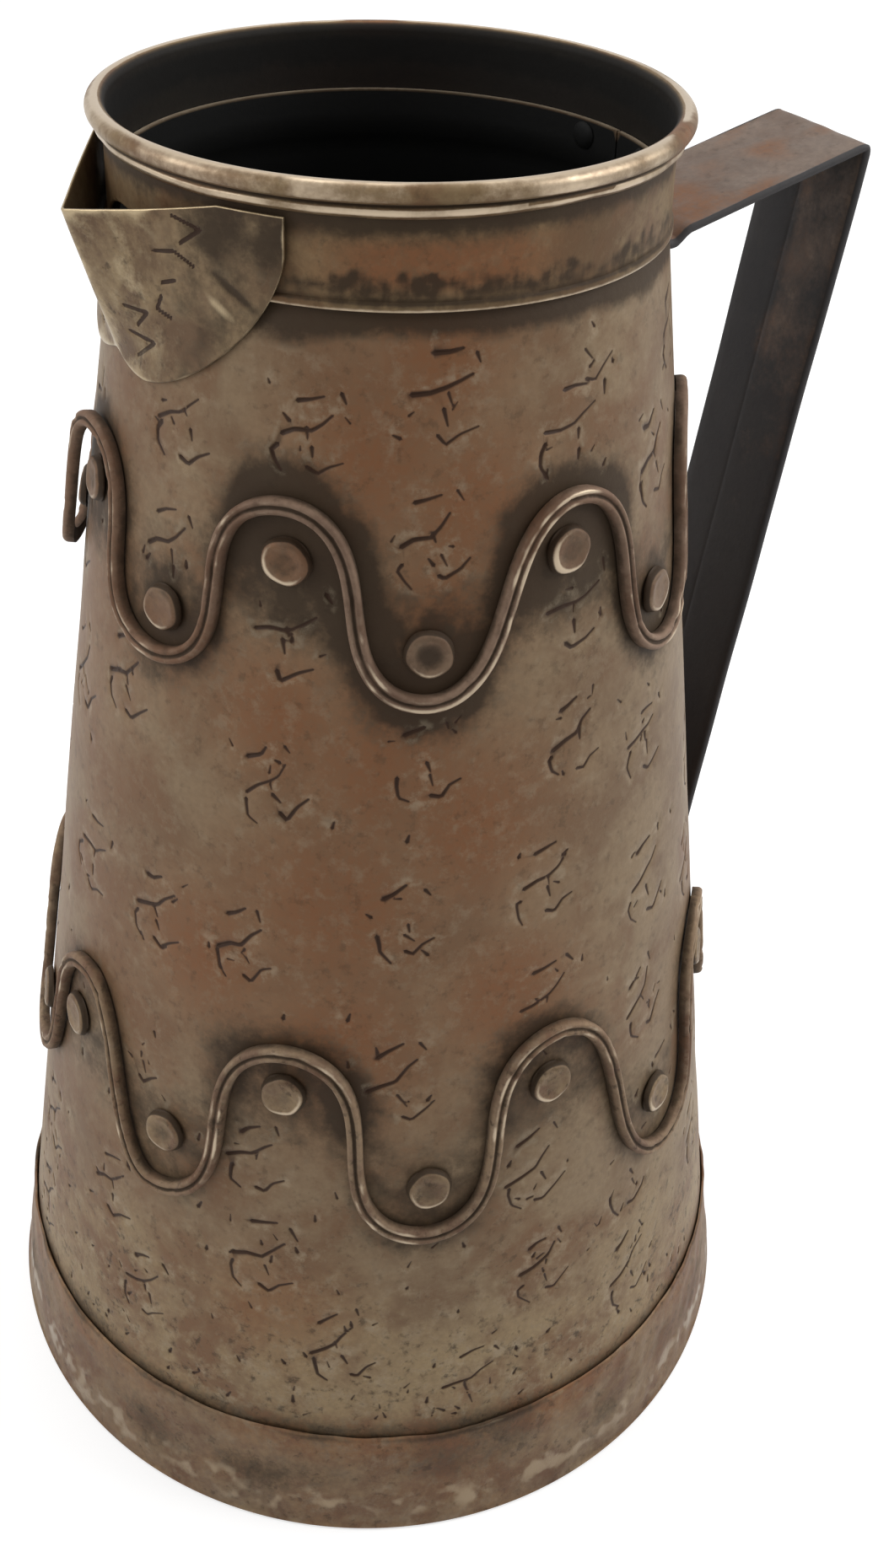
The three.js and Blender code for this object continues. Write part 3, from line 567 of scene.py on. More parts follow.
def stroke_points():
    """Three rows along each stroke: its floor and its two shoulders."""
    rows = []
    for points, _ in strokes:
        squeeze = squeeze_at(points[0, 1])
        true = flat(points[:, 0], points[:, 1]) / squeeze
        length = mileage(true)
        place = np.linspace(0, length[-1], max(3, int(length[-1] / 0.8) + 1))
        path = np.stack([np.interp(place, length, true[:, k]) for k in (0, 1)], 1)
        along = unit(np.gradient(path, axis=0))
        side = leftward(along)
        rows += [path, path + side * GROOVE_HALF, path - side * GROOVE_HALF]
        rows += [path[:1] - along[:1] * 0.5, path[-1:] + along[-1:] * 0.5]
        rows[-5:] = [row * squeeze for row in rows[-5:]]
    return np.vstack(rows)


def strap_side_points():
    """Rows beside each strap, where the soot changes fast."""
    rows = []
    for line in lines.values():
        angle, z = wave_line(*line, 30)
        path = flat(angle % 360, z)
        side = leftward(unit(np.gradient(flat(angle, z), axis=0)))
        rows += [path + side * off for off in (-7, -4.6, -3, -2, 2, 3, 4.6, 7)]
    return np.vstack(rows)


def spaced(first, groups):
    """The first points whole, then from each group those that keep their distance. A hair's
    breadth of jitter keeps any three of them off one line, which triangles could not follow."""
    cell = 1.5
    taken, kept = {}, []
    for x, y in first:
        taken.setdefault((int(x // cell), int(y // cell)), []).append((x, y))
    left, right = first[:, 0].min() + 0.5, first[:, 0].max() - 0.5
    for points, gap in groups:
        for x, y in points:
            if not (left < x < right and BODY_BOTTOM + 0.5 < y < NECK_TOP - 0.5):
                continue
            i, j = int(x // cell), int(y // cell)
            cells = [(a, b) for a in (i - 1, i, i + 1) for b in (j - 1, j, j + 1)]
            near = [spot for cell_here in cells for spot in taken.get(cell_here, ())]
            if all((x - p) ** 2 + (y - q) ** 2 > gap * gap for p, q in near):
                taken.setdefault((i, j), []).append((x, y))
                kept.append((x, y))
    return np.array(kept) + np.random.default_rng(12).uniform(-0.01, 0.01, (len(kept), 2))


def level_rows(heights):
    """Rows of points 2 mm apart, right round the sheet."""
    return np.array([[x, z] for x in np.arange(0, SHEET_WIDTH, 2.0) for z in heights])


edge, rims = edge_points()
x, y = np.meshgrid(np.arange(0, SHEET_WIDTH, 2.1), np.arange(2, 272, 2.0))
wide = np.stack([x + (y // 2.0 % 2) * 1.05, y], -1).reshape(-1, 2)
kink, ledge = level_rows([SHOULDER_HEIGHT, NECK_BASE, 280.5]), level_rows([NECK_TOP - 0.55])
groups = [(stroke_points(), 0.26), (kink, 0.7), (strap_side_points(), 0.9), (wide, 1.35)]
outer_fill = spaced(edge, groups)
x, y = np.meshgrid(np.arange(0, SHEET_WIDTH, 4.2), np.arange(3, 272, 4.0))
inner_fill = spaced(edge, [(ledge, 0.45), (kink, 0.9), (np.stack([x, y], -1).reshape(-1, 2), 1.5)])
print("points on the edges", len(edge), "outside", len(outer_fill), "inside", len(inner_fill))


# %% Triangles of both faces
def triangles(edge, fill, rims):
    """Delaunay triangles over the sheet, without those in the holes. Edge points keep their numbers."""
    points = np.vstack([edge, fill])
    ties = [(int(a), int(b)) for rim in rims for a, b in zip(rim, np.roll(rim, -1))]
    cut_up = geometry.delaunay_2d_cdt([Vector(p) for p in points], ties, [], 0, 1e-6)
    faces, number = cut_up[2], [source[0] for source in cut_up[3]]
    faces = np.array([[number[v] for v in face] for face in faces])
    a, b, c = points[faces[:, 0]], points[faces[:, 1]], points[faces[:, 2]]
    area = (b[:, 0] - a[:, 0]) * (c[:, 1] - a[:, 1]) - (b[:, 1] - a[:, 1]) * (c[:, 0] - a[:, 0])
    faces[area < 0] = faces[area < 0][:, ::-1]
    middle = (a + b + c) / 3
    keep = np.abs(area) > 1e-7
    for rim in rims:
        centre, reach = edge[rim].mean(0), np.ptp(edge[rim], axis=0) / 2
        keep &= (((middle - centre) / reach) ** 2).sum(1) > 0.97
    return points, faces[keep]


outer_flat, outer_faces = triangles(edge, outer_fill, rims)
inner_flat, inner_faces = triangles(edge, inner_fill, rims)
print("triangles outside", len(outer_faces), "inside", len(inner_faces))


# %% How deep each point lies
FAR_OFF = 9.0


def cap(values):
    """Values held between 0 and 1."""
    return np.clip(values, 0, 1)


def off_segment(spots, start, end):
    """Distance of spots from a straight segment, and how far along it their nearest points are."""
    run = end - start
    share = cap(((spots - start) @ run) / (run @ run))
    return np.linalg.norm(spots - start - share[..., None] * run, axis=-1), share


def stroke_depth(points):
    """How deep the strokes are at points of the sheet, and a wider mark round them, from 0 to 1."""
    deep, mark = np.zeros(len(points)), np.zeros(len(points))
    order = np.argsort(points[:, 0])
    columns = points[order, 0]
    for line, force in strokes:
        path = flat(line[:, 0], line[:, 1])
        first, last = np.searchsorted(columns, [path[:, 0].min() - 2, path[:, 0].max() + 2])
        mine = order[first:last]
        mine = mine[np.abs(points[mine, 1] - path[:, 1].mean()) < np.ptp(path[:, 1]) / 2 + 2]
        squeeze = squeeze_at(line[0, 1])
        away, along = np.full(len(mine), FAR_OFF), np.zeros(len(mine))
        for i, (start, end) in enumerate(zip(path[:-1] / squeeze, path[1:] / squeeze)):
            gap, share = off_segment(points[mine] / squeeze, start, end)
            nearer = gap < away
            away[nearer], along[nearer] = gap[nearer], ((i + share) / (len(path) - 1))[nearer]
        here = force * (1 - 0.5 * along)
        half = GROOVE_HALF * (0.6 + 0.6 * here)
        deep[mine] = np.maximum(deep[mine], here * cap(1 - away / half))
        mark[mine] = np.maximum(mark[mine], (0.5 + 0.5 * here) * cap(1 - away / (2 * half)))
    return deep, mark


def soft_dents(points, rng):
    """Shallow dents from handling, in millimetres."""
    depth = np.zeros(len(points))
    for _ in range(70):
        centre = np.array([rng.uniform(10, 440), rng.uniform(35, 262)])
        reach, sink = rng.uniform(5, 16), rng.uniform(0.05, 0.28)
        depth += sink * np.exp(-((points - centre) ** 2).sum(1) / reach**2)
    return depth


def strap_distance(points):
    """How far each point of the sheet is from the nearest strap, crest stud and valley stud."""
    off = []
    for marks in (bars_on_sheet(30), heads_on_sheet("crest"), heads_on_sheet("valley")):
        parts = np.array_split(points[:, None], 1 + len(points) // 4000)
        off.append(np.concatenate([np.linalg.norm(part - marks, axis=-1).min(1) for part in parts]))
    return off


strokes_here, marks_here = stroke_depth(outer_flat)
off_bars, off_crests, off_valleys = strap_distance(outer_flat)
print("deepest stroke", strokes_here.max(), "points in strokes", int((strokes_here > 0.2).sum()))

# %% [markdown]
# Blender takes a mesh as plain lists of points and faces. `make_piece` turns them into an object.
# It also looks at the signed volume, so that every closed body ends up facing outward.

# %% Pieces from points


def around(radius, degrees, z):
    """Points from radius, angle and height."""
    turn = np.radians(degrees)
    return np.stack(np.broadcast_arrays(radius * np.cos(turn), radius * np.sin(turn), z), axis=-1)


def signed_volume(points, faces):
    """Six times the volume inside the faces, negative where they face inward."""
    total = 0.0
    by_size = {}
    for face in faces:
        by_size.setdefault(len(face), []).append(face)
    for size, group in by_size.items():
        corners = points[np.array(group)]
        for i in range(1, size - 1):
            total += (corners[:, 0] * np.cross(corners[:, i], corners[:, i + 1])).sum()
    return total


def make_piece(name, points, faces, crease=50):
    """A smooth-shaded object from points in millimetres. Edges over the crease angle stay sharp."""
    points = np.reshape(np.asarray(points, float), (-1, 3))
    if signed_volume(points, faces) < 0:
        faces = [face[::-1] for face in faces]
    mesh = bpy.data.meshes.new(name)
    mesh.from_pydata((points / 1000).tolist(), [], faces)
    mesh.shade_smooth()
    mesh.set_sharp_from_angle(angle=math.radians(crease))
    piece = bpy.data.objects.new(name, mesh)
    bpy.context.scene.collection.objects.link(piece)
    print(name, len(mesh.vertices), "points", len(mesh.polygons), "faces")
    return piece


# %% Roll the sheet up
BODY_SHEET = 0.9
GROOVE_DEPTH = 0.48
degrees, z = outer_flat[:, 0] / MM_PER_DEGREE, outer_flat[:, 1]
inner_degrees, inner_z = inner_flat[:, 0] / MM_PER_DEGREE, inner_flat[:, 1]
sink = GROOVE_DEPTH * strokes_here + soft_dents(outer_flat, np.random.default_rng(5))
sink[: len(edge)] = 0
outer_points = around(cone_radius(z) - sink, degrees, z)
inner_points = around(cone_radius(inner_z) - BODY_SHEET, inner_degrees, inner_z)
shift = len(outer_points)
sides = {(int(f[i]), int(f[(i + 1) % 3])) for f in outer_faces for i in range(3)}
walls = [[b, a, a + shift, b + shift] for a, b in sides if (b, a) not in sides]
faces = outer_faces.tolist() + (inner_faces[:, ::-1] + shift).tolist() + sorted(walls)
cone = make_piece("cone_sheet", np.vstack([outer_points, inner_points]), faces)

# %% [markdown]
# The stains on the cone follow its parts: soot gathers round the studs, soot and painted shadow
# lie along the straps, soot lies over the foot band, and the cone is darker under the collar. Rust
# and smudges lie where the photo has them in front, and are made up behind. Each is a place on the
# cone with its reach in millimetres.

# %% Paint on a piece


def bump(off, reach, power=2):
    """1 where the distance off is 0, falling smoothly to nearly 0 past the reach."""
    return np.exp(-((off / reach) ** power))


def fade(off, reach):
    """1 up to where the distance off is 0, then falling fast at first and slowly later."""
    return np.exp(-np.maximum(off, 0) / reach)


def ripple(points, size, seed, terms=14):
    """Smooth random height, mostly from -1 to 1, with bumps about size millimetres across."""
    rng = np.random.default_rng(seed)
    ways = rng.normal(size=(terms, 3))
    ways /= np.linalg.norm(ways, axis=1, keepdims=True) * size * rng.uniform(0.7, 1.7, (terms, 1))
    phases = rng.uniform(0, 2 * np.pi, terms)
    return np.sin(np.asarray(points) @ ways.T * 2 * np.pi + phases).sum(-1) / math.sqrt(terms / 2) * 0.6


def paint(piece, **layers):
    """Keeps numbers for each point, which a finish can read by their names."""
    for name, values in layers.items():
        layer = piece.data.attributes.new(name, "FLOAT", "POINT")
        layer.data.foreach_set("value", np.ascontiguousarray(np.ravel(values), np.float32))


def settle(piece, node, slot):
    """Gives a piece its finish from the slot and its body, and hides the CAD node that it stands for."""
    piece.data.materials.append(finishes[slot])
    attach(piece, "root")
    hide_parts(node)


# %% Stains and painted shade on the cone
BAND_HEIGHT = 26.5
GLOW_SPOTS = [
    (-109, 269, 20), (-121, 251, 22), (-103, 241, 20), (-108, 220, 16), (-136, 198, 18),
    (-118, 190, 24), (-103, 176, 22), (-125, 159, 26), (-148, 142, 20), (-124, 128, 22),
    (-97, 136, 18), (-133, 57, 16), (60, 180, 26), (120, 150, 24), (20, 230, 22), (150, 90, 22),
    (80, 70, 20), (-30, 110, 22),
]
SMUDGES = [
    (-138, 247, 11.9), (-134, 246, 10.2), (-124, 230, 11.9), (-121, 221, 11.9), (-110, 196, 15.3),
    (-95, 237, 10.2), (-148, 128, 11.9), (-96, 127, 11.9), (-122, 116, 11.9), (-108, 72, 13.6),
    (-72, 236, 10.2), (20, 240, 11.9), (80, 238, 13.6), (102, 230, 11.9), (60, 120, 13.6),
    (130, 118, 13.6),
]


def spots_on(places):
    """Soft round spots on the sheet, each from an angle, a height and a reach."""
    share = np.zeros(len(z))
    for angle, height, reach in places:
        away = np.hypot(turn_from(degrees, angle) * MM_PER_DEGREE, z - height)
        share = np.maximum(share, bump(away, reach))
    return share


def both_faces(outside, inside=0.0):
    """Paint for the whole cone: a number for each point outside and one for all those inside."""
    return np.concatenate([outside, np.full(len(inner_z), inside)])


waver = ripple(outer_points, 24, 6)
# Soot and painted shadow along both sides of each strap: a broad halo and a narrow line at its edge.
near_bars = 0.42 * fade(off_bars, 6 + 2 * waver) + 0.36 * fade(off_bars, 2.2)
smudged = 0.8 * spots_on(SMUDGES) * fade(off_bars - 4, 4 + waver)
soot = 0.62 * bump(off_crests, 16, 4) + 0.7 * bump(off_valleys, 11) + near_bars + smudged
soot *= np.interp(z, [135, 185], [0.54, 1]) * (1 + 0.22 * ripple(outer_points, 4.5, 7))
under_collar = 0.95 * cap((z - 270.5 + 2.4 * waver) / 3)
over_band = z - BAND_HEIGHT - 0.5
soot = np.maximum(np.maximum(soot, under_collar), 0.55 * fade(over_band, 3.5 + waver))
glow = np.maximum(spots_on(GLOW_SPOTS), 0.9 * fade(over_band, 4))
neck_edge = np.concatenate([z, inner_z]) > NECK_TOP - 0.05
paint(cone, soot=both_faces(cap(soot)), mark=both_faces(marks_here), glow=both_faces(glow))
paint(cone, crust=both_faces(cap((78 - z + 8 * waver) / 34)))
# The inner face and the neck under the collar are painted near-black shade; the top edge of the neck is
# painted bright.
paint(cone, inside=both_faces(z > NECK_BASE + FIT, 1.0) * ~neck_edge, rub=0.7 * neck_edge)
settle(cone, "body_cone", "body_sheet")

# %% [markdown]
# From here on nearly every piece is sheet that follows a path, so two builders do most of the
# work. `loft` joins a row of rings of points, as a boatbuilder skins ribs. `spin`, which comes
# with the foot, turns a profile on the axis, as a lathe does. Both give plain lists.

# %% Rings and lofts


def loft(stations, closed):
    """Faces between rings of points. An open run is closed with a face at each end."""
    count, ring = stations.shape[:2]
    here = np.arange(count if closed else count - 1)
    near = here[:, None] * ring + np.arange(ring)
    far = ((here + 1) % count)[:, None] * ring + np.arange(ring)
    faces = np.stack([near, far, np.roll(far, -1, 1), np.roll(near, -1, 1)], -1).reshape(-1, 4).tolist()
    if not closed:
        faces.append(list(range(ring)))
        faces.append(list(range(count * ring - 1, (count - 1) * ring - 1, -1)))
    return faces


def turned(profile, facets):
    """Rings of a profile turned on the axis, the angle of each ring and the way out at it."""
    degrees = np.arange(facets) * 360 / facets
    rings = around(profile[None, :, 0], degrees[:, None], profile[None, :, 1])
    return rings, around(np.ones(facets), degrees, np.zeros(facets))[:, None, :]


# %% [markdown]
# ## The collar and its rolled rim
# The collar is a short upright sleeve over the neck. Its top is rolled outward round an iron wire
# and its edge is tucked back against the wall, which gives the rim its fat bead with a smaller
# ridge below. A lathe profile makes it in one go. The notch behind the spout is cut out with a
# Boolean, since the wall there was cut away for pouring.

# %% Collar
ROLL_CENTRE = 55.5
ROLL_LEVEL = 297.7
WIRE_SEAT, ROLL_OUTER = 1.2, 1.9
COLLAR_INSIDE, COLLAR_OUTSIDE = 53.6, 54.3


def on_roll(radius, degrees):
    """Points of the rolled edge round the wire."""
    turn = np.radians(degrees)
    return np.stack([ROLL_CENTRE + radius * np.cos(turn), ROLL_LEVEL + radius * np.sin(turn)], 1)


collar_profile = np.vstack([
    [[53.6, 276.7], [53.75, 276.5], [54.5, 276.5], [54.7, 276.75], [54.7, 277.6], [54.6, 278.0]],
    [[COLLAR_OUTSIDE, z] for z in np.append(np.arange(278.3, 293.5, 0.8), 295.5)],
    on_roll(WIRE_SEAT, np.linspace(180, -138.6, 16)),
    [[54.6, 295.6], [54.6, 294.4], [54.6, 293.4], [54.75, 293.2], [55.15, 293.2], [55.45, 293.45]],
    [[55.85, 293.95], [56.0, 294.37], [55.95, 294.85], [55.72, 295.3], [55.51, 295.67], [55.7, 295.95]],
    on_roll(ROLL_OUTER, np.linspace(-62, 180, 20)),
    [[COLLAR_INSIDE, z] for z in range(295, 279, -3)],
])
rings, outward = turned(collar_profile, 480)
radius, z = collar_profile.T
wall = (radius > 54.2) & (z > 278.1) & (z < 292.9)
tuck = (z < 295.8) & (z > 293.0) & (radius > 54.5)
rings -= outward * (0.12 * (1 + ripple(rings, 22, 21)) * wall)[..., None]
rings += [0, 0, 1] * (0.22 * (1 + ripple(rings, 30, 22)) * tuck)[..., None]
rings -= outward * (0.1 * (1 + ripple(rings, 9, 23)) * tuck)[..., None]
collar = make_piece("collar_sheet", rings, loft(rings, True))

oval = np.linspace(0, 2 * math.pi, 48, endpoint=False)
y, z = HOLE_HALF_WIDTH * np.cos(oval), HOLE_LEVEL + HOLE_HALF_HEIGHT * np.sin(oval)
cutter_rings = np.stack([np.stack([x + 0 * y, y, z], 1) for x in (-70.0, -40.0)])
cutter = make_piece("hole_cutter", cutter_rings, loft(cutter_rings, False))
cut = collar.modifiers.new("pouring_hole", "BOOLEAN")
cut.object, cut.operation, cut.solver = cutter, "DIFFERENCE", "EXACT"
bpy.context.view_layer.update()
shaped = collar.evaluated_get(bpy.context.evaluated_depsgraph_get())
shaped = bpy.data.meshes.new_from_object(shaped)
collar.modifiers.clear()
collar.data = shaped
bpy.data.objects.remove(cutter)
print("collar after the cut", len(collar.data.vertices), "points")

# %% [markdown]
# The rim is rubbed bright on its bead, and the crest of it and the ridge below carry a painted
# highlight as well as wear, but for two spots of rust. Soot lies in the valley between them and in
# grains over the hem, painted shade lies under the ridge, reaching furthest down on the front, and
# the inside of the collar and of the roll is painted near-black shade.

# %% Wear, soot and painted light on the collar
spots = np.zeros(len(collar.data.vertices) * 3, np.float32)
collar.data.vertices.foreach_get("co", spots)
spots = spots.reshape(-1, 3).astype(float) * 1000
radius, z = np.hypot(spots[:, 0], spots[:, 1]), spots[:, 2]
angle = np.degrees(np.arctan2(spots[:, 1], spots[:, 0]))
within = radius < COLLAR_INSIDE + 0.15
on_bead = (z > 296.0) & (radius > COLLAR_INSIDE - 0.05)
bead_turn = np.degrees(np.arctan2(z - ROLL_LEVEL, radius - ROLL_CENTRE))
# The crest of the bead and the ridge below are rubbed bright and carry a painted highlight.
top = bump(bead_turn - 92, 24) * on_bead
ridge = cap((radius - 55.35) / 0.25) * (z < 295.1)
roll = cap((z - 296.1) / 0.4) * (radius > 54.9)
rust = (bump(angle - 66, 8, 4) + bump(angle + 50, 5, 4)) * on_bead
brow = np.maximum((0.58 + 0.16 * ripple(spots, 20, 27)) * roll + 0.6 * top, 0.92 * ridge)
rub = (0.85 + 0.15 * ripple(spots, 14, 24)) * brow * (1 - 0.7 * rust) + 0.7 * (z < 276.9)
waver, fine = 0.7 * ripple(spots, 9, 25) + 0.6 * ripple(spots, 3, 26), ripple(spots, 2, 28)
in_front = 0.55 + 0.45 * np.cos(np.radians(angle + 95))
# Painted shade under the ridge of the rim, reaching further down on the front.
under_roll = bump(np.maximum(293.6 - z, 0), 2.6 + 1.6 * in_front + 0.6 * waver)
under_roll *= (z < 295.6) & (radius < 55.0)
valley = bump(z - 295.7, 0.5) * (radius > 55.2)
hem_soot = (0.56 + 0.24 * waver + 0.2 * fine) * bump(z - 280.2 - 1.1 * waver - 0.5 * fine, 2.7)
hem_soot = hem_soot * cap(2.4 * in_front - 1.4) + 0.5 * fade(np.abs(z - 278.1), 0.4)
glow = 1.1 * bump(angle + 109, 22, 4) * bump(z - 284.8, 4.9, 4) + 0.7 * bump(angle - 70, 30, 4)
paint(collar, rub=cap(rub) * (~within | (z > 297)), soot=cap(0.9 * under_roll + valley + hem_soot))
paint(collar, glow=cap(glow) * (z < 293) + 0.9 * rust)
# The inside of the collar and of the roll is painted near-black shade.
paint(collar, inside=0.96 * np.where(on_bead, cap((np.abs(bead_turn) - 118) / 14), within))
settle(collar, "neck_collar", "collar_sheet")

# %% [markdown]
# ## The foot band and the base
# The foot band is a sloping hoop slipped over the cone, with its lower edge turned in under the
# jug. It took the most knocks, so its top edge waves a little and its face is hammered. The base is
# a pressed disc, flush with the table in the middle.

# %% A lathe and a rounded edge


def half_round(outer, inner, along):
    """Three points that round the edge of a sheet between its two faces."""
    middle, half = (outer + inner) / 2, (outer - inner) / 2
    reach = np.linalg.norm(half, axis=-1, keepdims=True) * along
    arc = [math.radians(a) for a in (45, 90, 135)]
    return np.stack([middle + half * math.cos(a) + reach * math.sin(a) for a in arc], axis=-2)


def spin(profile, facets):
    """Points and faces of a profile that starts and ends on the axis."""
    rings = np.asarray(profile, float)[1:-1]
    degrees = np.arange(facets) * 360 / facets
    side = around(rings[:, 0:1], degrees[None, :], rings[:, 1:2]).reshape(-1, 3)
    points = np.vstack([[0, 0, profile[0][1]], side, [0, 0, profile[-1][1]]])
    faces = []
    last = len(points) - 1
    top = 1 + (len(rings) - 1) * facets
    for i in range(facets):
        k = (i + 1) % facets
        faces.append([0, 1 + k, 1 + i])
        faces.append([top + i, top + k, last])
    low = 1 + np.arange(len(rings) - 1)[:, None] * facets + np.arange(facets)
    nxt = np.roll(low, -1, 1)
    faces += np.stack([low, nxt, nxt + facets, low + facets], -1).reshape(-1, 4).tolist()
    return points, faces


# %% Foot band and base
BAND_OUTER, BAND_INNER = 88.6, 87.7
heights = np.linspace(0.8, BAND_HEIGHT - 0.45, 44)
outer_wall = np.stack([BAND_OUTER - SLOPE * heights, heights], 1)
inner_wall = np.stack([BAND_INNER - SLOPE * heights[::-4], heights[::-4]], 1)
edge_round = half_round(outer_wall[-1], inner_wall[0], np.array([-SLOPE, 1]))
heel = [[80.7, 0.45], [80.85, 0.1], [81.15, 0], [87.9, 0], [88.3, 0.1], [88.52, 0.4]]
band_profile = np.vstack([heel, outer_wall, edge_round, inner_wall[:-1], [[87.2, 0.9], [81.1, 0.9]]])
rings, outward = turned(band_profile, 600)
radius, z = band_profile.T
level = z / BAND_HEIGHT
face = (radius > BAND_INNER - SLOPE * z + 0.4) & (level > 0.02)
hammered = 0.16 * (1 + ripple(rings, 16, 31)) + 0.09 * (1 + ripple(rings, 5, 32))
rings -= outward * (hammered * face)[..., None]
rings -= [0, 0, 1] * (0.35 * (1 + ripple(rings, 26, 33)) * cap(level * 3 - 2))[..., None]
band = make_piece("foot_band_sheet", rings, loft(rings, True))
low = cap(1 - z / 11)
edge_line = bump(z - BAND_HEIGHT + 0.6, 0.7)
chips = ripple(rings, 12, 34)
patches = ripple(rings, 9, 37) + 0.7 * ripple(rings, 3.5, 38)
ragged = np.clip(0.4 + 0.5 * patches, 0, 0.76) * bump(z - 7.5 - 1.5 * chips, 4.5)
stains = 0.25 * ripple(rings, 20, 36) + 0.05 + 0.16 * bump(z - 15, 4)
paint(band, rub=cap(0.5 * edge_line * (0.7 + 0.4 * chips) + 0.2 * low + ragged), crust=0 * chips + 0.5)
paint(band, glow=cap(0.8 * bump(z - 24, 4) + 0.4 * ripple(rings, 24, 35)))
paint(band, soot=cap(stains - 0.5 * low + 0.3 * edge_line))
settle(band, "foot_band", "foot_sheet")

WELL = 80.4
FLANGE = TABLE_RADIUS - BODY_SHEET - FIT
flange = [
    [1.3, -0.3, 1.2], [1.5, 0, 1.5], [6, 0, 6], [10, -0.1, 10], [10.2, -0.4, 10.2], [10, -0.75, 10],
    [6, -0.8, 6], [2.6, -0.8, 2.6], [2, -1.3, 2.05],
]
base_profile = [[0, 0], [10, 0], [40, 0], [70, 0]]
base_profile += [[WELL + r, z] for r, z in ((-0.6, 0.05), (-0.2, 0.3), (0, 0.8), (0.3, 1.15))]
base_profile += [[FLANGE - SLOPE * rise + r, z] for rise, r, z in flange]
base_profile += [[WELL - r, z] for r, z in ((0.6, 2.0), (1.0, 1.7), (1.3, 1.0), (1.8, 0.8))]
base_profile += [[r, 0.8] for r in (70, 40, 10, 0)]
points, faces = spin(base_profile, 240)
plate = make_piece("base_sheet_disc", points, faces, crease=40)
# The top face, inside the jug, is painted near-black shade.
paint(plate, inside=points[:, 2] > 0.5)
settle(plate, "base_plate", "base_sheet")

# %% [markdown]
# ## The spout
# The spout is one folded sheet. Its two flat walls meet in a keel that rises from the cone, and
# its wings lie against the collar. The sheet is drawn column by column round the jug: the bottom
# edge has two small lobes beside the keel, the top edge dips towards the tip. Bold chisel cuts,
# each like a hook, run down each wall in two loose rows, and a soft swelling lies over the wing.

# %% Spout
SPOUT_SEAT, SPOUT_SHEET, SPOUT_REACH = 55.0, 0.8, 66.4
SPOUT_TIP, SPOUT_FOOT, SPOUT_TOP = 285.5, 257.5, 292.3
SPOUT_WRAP, SPOUT_CORNER, EDGE_CURVE = 43, 285.0, 1.55
LOBE_DROP, LOBE_ANGLE = 2.5, 11
MM_PER_WALL_DEGREE = 1.05


def spout_top(turn):
    """Height of the top edge, at an angle from the keel."""
    return SPOUT_TIP + (SPOUT_TOP - SPOUT_TIP) * np.minimum(1, np.abs(turn) / 30)


def spout_bottom(turn):
    """Height of the bottom edge: a lobe beside the keel, then a rise to the wing's corner."""
    away = np.abs(turn)
    lobe = SPOUT_FOOT - LOBE_DROP * np.sin(np.minimum(away / LOBE_ANGLE, 1) * math.pi / 2)
    share = cap((away - LOBE_ANGLE) / (SPOUT_WRAP - LOBE_ANGLE))
    low = SPOUT_FOOT - LOBE_DROP
    bulge = (1 - share**EDGE_CURVE) ** (1 / EDGE_CURVE)
    return np.where(away < LOBE_ANGLE, lobe, low + (SPOUT_CORNER - low) * (1 - bulge))


def spout_radius(turn, z):
    """Inner face of the spout: flat walls from the keel to where they touch the collar."""
    seat = np.maximum(SPOUT_SEAT, cone_radius(z) + FIT)
    foot = float(cone_radius(SPOUT_FOOT)) + FIT
    share = np.maximum(0, (z - SPOUT_FOOT) / (SPOUT_TIP - SPOUT_FOOT))
    keel = np.maximum(seat, foot + (SPOUT_REACH - SPOUT_SHEET - foot) * share)
    tangent = np.degrees(np.arccos(seat / keel))
    return seat / np.cos(np.radians(np.maximum(0, tangent - np.abs(turn))))


def zigzag(spots, path):
    """Depth of a chisel cut along a path of turn and height, from 0 to 1."""
    path = np.array(path, float) * [MM_PER_WALL_DEGREE, 1]
    gaps = [off_segment(spots, start, end)[0] for start, end in zip(path[:-1], path[1:])]
    return cap(1 - np.min(gaps, axis=0) / CUT_HALF)


columns, rows = 190, 74
turn = SPOUT_WRAP * np.sin(np.linspace(-math.pi / 2, math.pi / 2, columns))[:, None]
share = np.linspace(0, 1, rows)[None, :]
low, high = spout_bottom(turn) + 0.35, spout_top(turn) - 0.35
z = low + (high - low) * share
inner_radius = spout_radius(turn, z)
CUT_HALF = 0.6
CUTS = [
    [(21, 288.8), (26.5, 287.2), (22, 284)], [(16, 281.3), (20.5, 282.2), (24.5, 280.2)],
    [(17, 275.5), (20, 276.6)], [(16.5, 272.8), (15, 270), (18.5, 269)],
    [(6.5, 268.4), (12.5, 268.5), (9.5, 265.3)], [(7, 263.4), (14, 263), (9, 259.2)],
]
spots = np.stack([(turn + 0 * z) * MM_PER_WALL_DEGREE, z], -1)
both_walls = [[(sign * a, b) for a, b in path] for path in CUTS for sign in (1, -1)]
cuts = np.max([zigzag(spots, path) for path in both_walls], axis=0)
wave = 0.12 * ripple(around(inner_radius, 180 + turn, z), 14, 41)
away = np.abs(turn)
swelling = bump(z - 274 + 0.55 * (away - 30), 1.6) * bump(away - 30, 5)
crease = bump(z - 277.4 + 0.6 * (away - 33), 0.9) * bump(away - 33, 4)
pressed = -0.42 * cuts + np.minimum(wave, 0) - 0.3 * crease - 0.15 + 0.15 * swelling
outer = around(inner_radius + SPOUT_SHEET + pressed, 180 + turn, z)
inner = around(inner_radius + np.minimum(wave, 0), 180 + turn, z)
up = np.array([0.0, 0.0, 1.0])
top_edge = half_round(outer[:, -1], inner[:, -1], up)
bottom_edge = half_round(inner[:, 0], outer[:, 0], -up)
stations = np.concatenate([outer, top_edge, inner[:, ::-1], bottom_edge], axis=1)
spout = make_piece("spout_sheet", stations, loft(stations, False))


